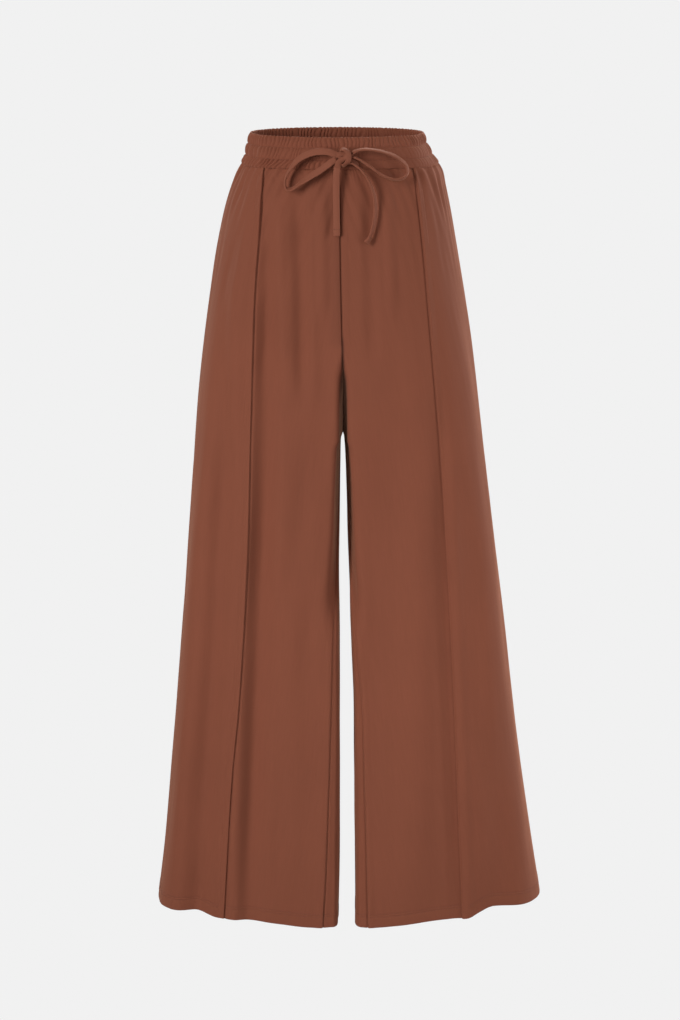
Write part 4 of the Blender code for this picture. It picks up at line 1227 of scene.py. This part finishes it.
def hang_lamp(name, light, place, aim):
    """Puts a light at a place, turned to face a point."""
    lamp = bpy.data.objects.new(name, light)
    lamp.location = place
    direction = mathutils.Vector(aim) - mathutils.Vector(place)
    lamp.rotation_euler = direction.to_track_quat("-Z", "Y").to_euler()
    bpy.context.scene.collection.objects.link(lamp)
    return lamp


def make_softbox(name, place, aim, size, power):
    """A large soft rectangular light."""
    light = bpy.data.lights.new(name, "AREA")
    light.shape = "RECTANGLE"
    light.size, light.size_y = size
    light.energy = power
    return hang_lamp(name, light, place, aim)


def make_spot(name, place, aim, spread, power):
    """A soft-edged spotlight with an oval beam: its half width and half height at 1 m."""
    light = bpy.data.lights.new(name, "SPOT")
    light.energy = power
    light.spot_size = 2 * math.atan(spread[1])
    light.spot_blend = 1.0
    light.shadow_soft_size = 0.5
    lamp = hang_lamp(name, light, place, aim)
    lamp.scale = (spread[0] / spread[1], 1, 1)
    return lamp


CAMERA_PLACE = (0.003, -3.6, 0.10)
LOOKS_DOWN = 9.75                # degrees
LENS = 93.3                      # millimetres, on a 36 mm sensor


def make_camera():
    """The camera in front, a little above the waist, looking down."""
    lens = bpy.data.cameras.new("camera")
    lens.lens = LENS
    lens.sensor_width = 36.0
    camera = bpy.data.objects.new("camera", lens)
    camera.location = CAMERA_PLACE
    camera.rotation_euler = (math.radians(90 - LOOKS_DOWN), 0, 0)
    bpy.context.scene.collection.objects.link(camera)
    bpy.context.scene.camera = camera
    return camera


# --- The add-on ------------------------------------------------------------------------------

class PantsCloth(bpy.types.PropertyGroup):
    """Sizes and colours of the crepe, its folds and its sewing."""

    cloth_thickness: bpy.props.FloatProperty(
        name="Cloth thickness", description="Thickness of one layer of crepe",
        default=1.2 * MM, min=0.2 * MM, max=3 * MM, subtype="DISTANCE", unit="LENGTH")
    tuck_width: bpy.props.FloatProperty(
        name="Pintuck width", description="From a pintuck's stitching to its folded edge",
        default=4 * MM, min=1 * MM, max=12 * MM, subtype="DISTANCE", unit="LENGTH")
    tuck_height: bpy.props.FloatProperty(
        name="Pintuck height", description="How far a pressed pintuck stands off its panel",
        default=2.2 * MM, min=0.5 * MM, max=6 * MM, subtype="DISTANCE", unit="LENGTH")
    gather_depth: bpy.props.FloatProperty(
        name="Gather depth", description="Height of the waistband's gathers above their creases",
        default=2.0 * MM, min=0, max=5 * MM, subtype="DISTANCE", unit="LENGTH")
    gather_count: bpy.props.IntProperty(
        name="Gathers", description="Gathers round the whole waistband", default=118, min=10, max=300)
    sheen: bpy.props.FloatProperty(
        name="Sheen", description="Strength of the crepe's soft bloom at its edges",
        default=0.35, min=0, max=1, subtype="FACTOR")
    colour_spread: bpy.props.FloatProperty(
        name="Colour spread", description="How far the dye varies either side of its colour",
        default=0.06, min=0, max=0.5, subtype="FACTOR")
    crepe_colour: bpy.props.FloatVectorProperty(
        name="Crepe colour", description="Colour of the cloth, as it looks on a screen",
        default=(0.505, 0.282, 0.203), size=3, min=0, max=1, subtype="COLOR_GAMMA")
    thread_colour: bpy.props.FloatVectorProperty(
        name="Thread colour", description="Colour of the sewing thread, as it looks on a screen",
        default=(0.42, 0.24, 0.18), size=3, min=0, max=1, subtype="COLOR_GAMMA")
    panel_columns: bpy.props.IntProperty(
        name="Panel columns", description="Columns of points across a panel", default=136, min=8)
    leg_rows: bpy.props.IntProperty(
        name="Leg rows", description="Rows of points down a leg", default=190, min=8)
    tuck_rows: bpy.props.IntProperty(
        name="Pintuck rows", description="Rows of points down a pintuck", default=420, min=8)
    band_columns: bpy.props.IntProperty(
        name="Band columns", description="Columns of points round the waistband", default=1120, min=40)
    channel_rows: bpy.props.IntProperty(
        name="Channel rows", description="Rows of points down each channel", default=12, min=3)


class PantsDrawstring(bpy.types.PropertyGroup):
    """Sizes and colour of the drawstring."""

    tape_width: bpy.props.FloatProperty(
        name="Tape width", description="Width of the flat drawstring",
        default=9 * MM, min=3 * MM, max=30 * MM, subtype="DISTANCE", unit="LENGTH")
    tape_thickness: bpy.props.FloatProperty(
        name="Tape thickness", description="Thickness of the sewn tape",
        default=3 * MM, min=1 * MM, max=6 * MM, subtype="DISTANCE", unit="LENGTH")
    tape_colour: bpy.props.FloatVectorProperty(
        name="Tape colour", description="Colour of the drawstring, as it looks on a screen",
        default=(0.53, 0.305, 0.225), size=3, min=0, max=1, subtype="COLOR_GAMMA")
    thread_colour: bpy.props.FloatVectorProperty(
        name="Thread colour", description="Colour of the tips' thread, as it looks on a screen",
        default=(0.40, 0.23, 0.17), size=3, min=0, max=1, subtype="COLOR_GAMMA")
    colour_spread: bpy.props.FloatProperty(
        name="Colour spread", description="How far the dye varies either side of its colour",
        default=0.06, min=0, max=0.5, subtype="FACTOR")
    sheen: bpy.props.FloatProperty(
        name="Sheen", description="Strength of the tape's soft bloom at its edges",
        default=0.35, min=0, max=1, subtype="FACTOR")


class PantsStage(bpy.types.PropertyGroup):
    """The studio floor and its lights."""

    floor_height: bpy.props.FloatProperty(
        name="Floor height", description="Height of the floor below the waistband's top edge",
        default=-1.32, min=-5, max=0, subtype="DISTANCE", unit="LENGTH")
    floor_colour: bpy.props.FloatVectorProperty(
        name="Floor colour", description="Colour of the floor and backdrop, as on a screen",
        default=(0.945, 0.945, 0.945), size=3, min=0, max=1, subtype="COLOR_GAMMA")
    light: bpy.props.FloatProperty(
        name="Light", description="Brightness of all the softboxes together", default=1.0, min=0)


class PANTS_OT_stage(bpy.types.Operator):
    """Adds the camera, the pale floor and backdrop, and the softboxes"""

    bl_idname = "pants.stage"
    bl_label = "Stage"

    def execute(self, context):
        settings = context.scene.pants_stage
        make_camera()
        make_backdrop(settings)
        power = settings.light
        for name, place, aim, size, watts in SOFTBOXES:
            make_softbox(name, place, aim, size, watts * power)
        for name, place, aim, spread, watts in SPOTS:
            make_spot(name, place, aim, spread, watts * power)
        world = bpy.data.worlds.new("studio_air")
        world.use_nodes = True
        world.node_tree.nodes["Background"].inputs["Color"].default_value = (1, 1, 1, 1)
        world.node_tree.nodes["Background"].inputs["Strength"].default_value = 0.18
        context.scene.world = world
        context.scene.view_settings.view_transform = "Standard"
        context.scene.view_settings.look = "None"
        return {"FINISHED"}


class PANTS_OT_drawstring(bpy.types.Operator):
    """Adds the drawstring's bow, with its knot, tips and leads"""

    bl_idname = "pants.drawstring"
    bl_label = "Drawstring"

    def execute(self, context):
        make_drawstring(context.scene.pants_drawstring)
        return {"FINISHED"}


class PANTS_OT_waistband(bpy.types.Operator):
    """Adds the gathered waistband with its two stitched lines"""

    bl_idname = "pants.waistband"
    bl_label = "Waistband"

    def execute(self, context):
        band, sewing = make_waistband(context.scene.pants_cloth)
        return {"FINISHED"}


class PANTS_OT_panels(bpy.types.Operator):
    """Adds the two fronts, the two backs, their pintucks and the hems' stitching"""

    bl_idname = "pants.panels"
    bl_label = "Panels"

    def execute(self, context):
        settings = context.scene.pants_cloth
        for leg in LEGS:
            sewing = make_stitches(f"hem_stitching_{leg}", hem_stitch_rows(leg),
                                   thread(settings), 3.0 * MM, 2.2 * MM, 0.26 * MM)
            for face in FACES:
                panel = make_panel(f"{face}_{leg}_cloth", leg, face, settings)
                on_it = [make_pintuck(leg, settings), sewing] if face == "front" else []
        return {"FINISHED"}


class PANTS_PT_garment(bpy.types.Panel):
    """Palazzo pants"""

    bl_idname = "PANTS_PT_garment"
    bl_label = "Palazzo Pants"
    bl_space_type = "VIEW_3D"
    bl_region_type = "UI"
    bl_category = "Pants"

    def draw(self, context):
        for group, operators in (
                (context.scene.pants_stage, ("pants.stage",)),
                (context.scene.pants_drawstring, ("pants.drawstring",)),
                (context.scene.pants_cloth, ("pants.waistband", "pants.panels"))):
            box = self.layout.box()
            for prop in group.bl_rna.properties:
                if prop.identifier not in ("rna_type", "name"):
                    box.prop(group, prop.identifier)
            for operator in operators:
                box.operator(operator)


CLASSES = (PantsCloth, PantsDrawstring, PantsStage, PANTS_OT_stage, PANTS_OT_drawstring,
           PANTS_OT_waistband, PANTS_OT_panels, PANTS_PT_garment)
GROUPS = {"pants_cloth": PantsCloth, "pants_drawstring": PantsDrawstring, "pants_stage": PantsStage}


def register():
    """Registers the classes and puts their settings on the scene."""
    for cls in CLASSES:
        bpy.utils.register_class(cls)
    for name, group in GROUPS.items():
        setattr(bpy.types.Scene, name, bpy.props.PointerProperty(type=group))


def unregister():
    """Takes the settings off the scene and unregisters the classes."""
    for name in GROUPS:
        delattr(bpy.types.Scene, name)
    for cls in reversed(CLASSES):
        bpy.utils.unregister_class(cls)


def main():
    """Makes the garment piece by piece."""
    register()
    bpy.ops.pants.stage()
    bpy.ops.pants.drawstring()
    bpy.ops.pants.waistband()
    bpy.ops.pants.panels()


if __name__ == "__main__":
    main()
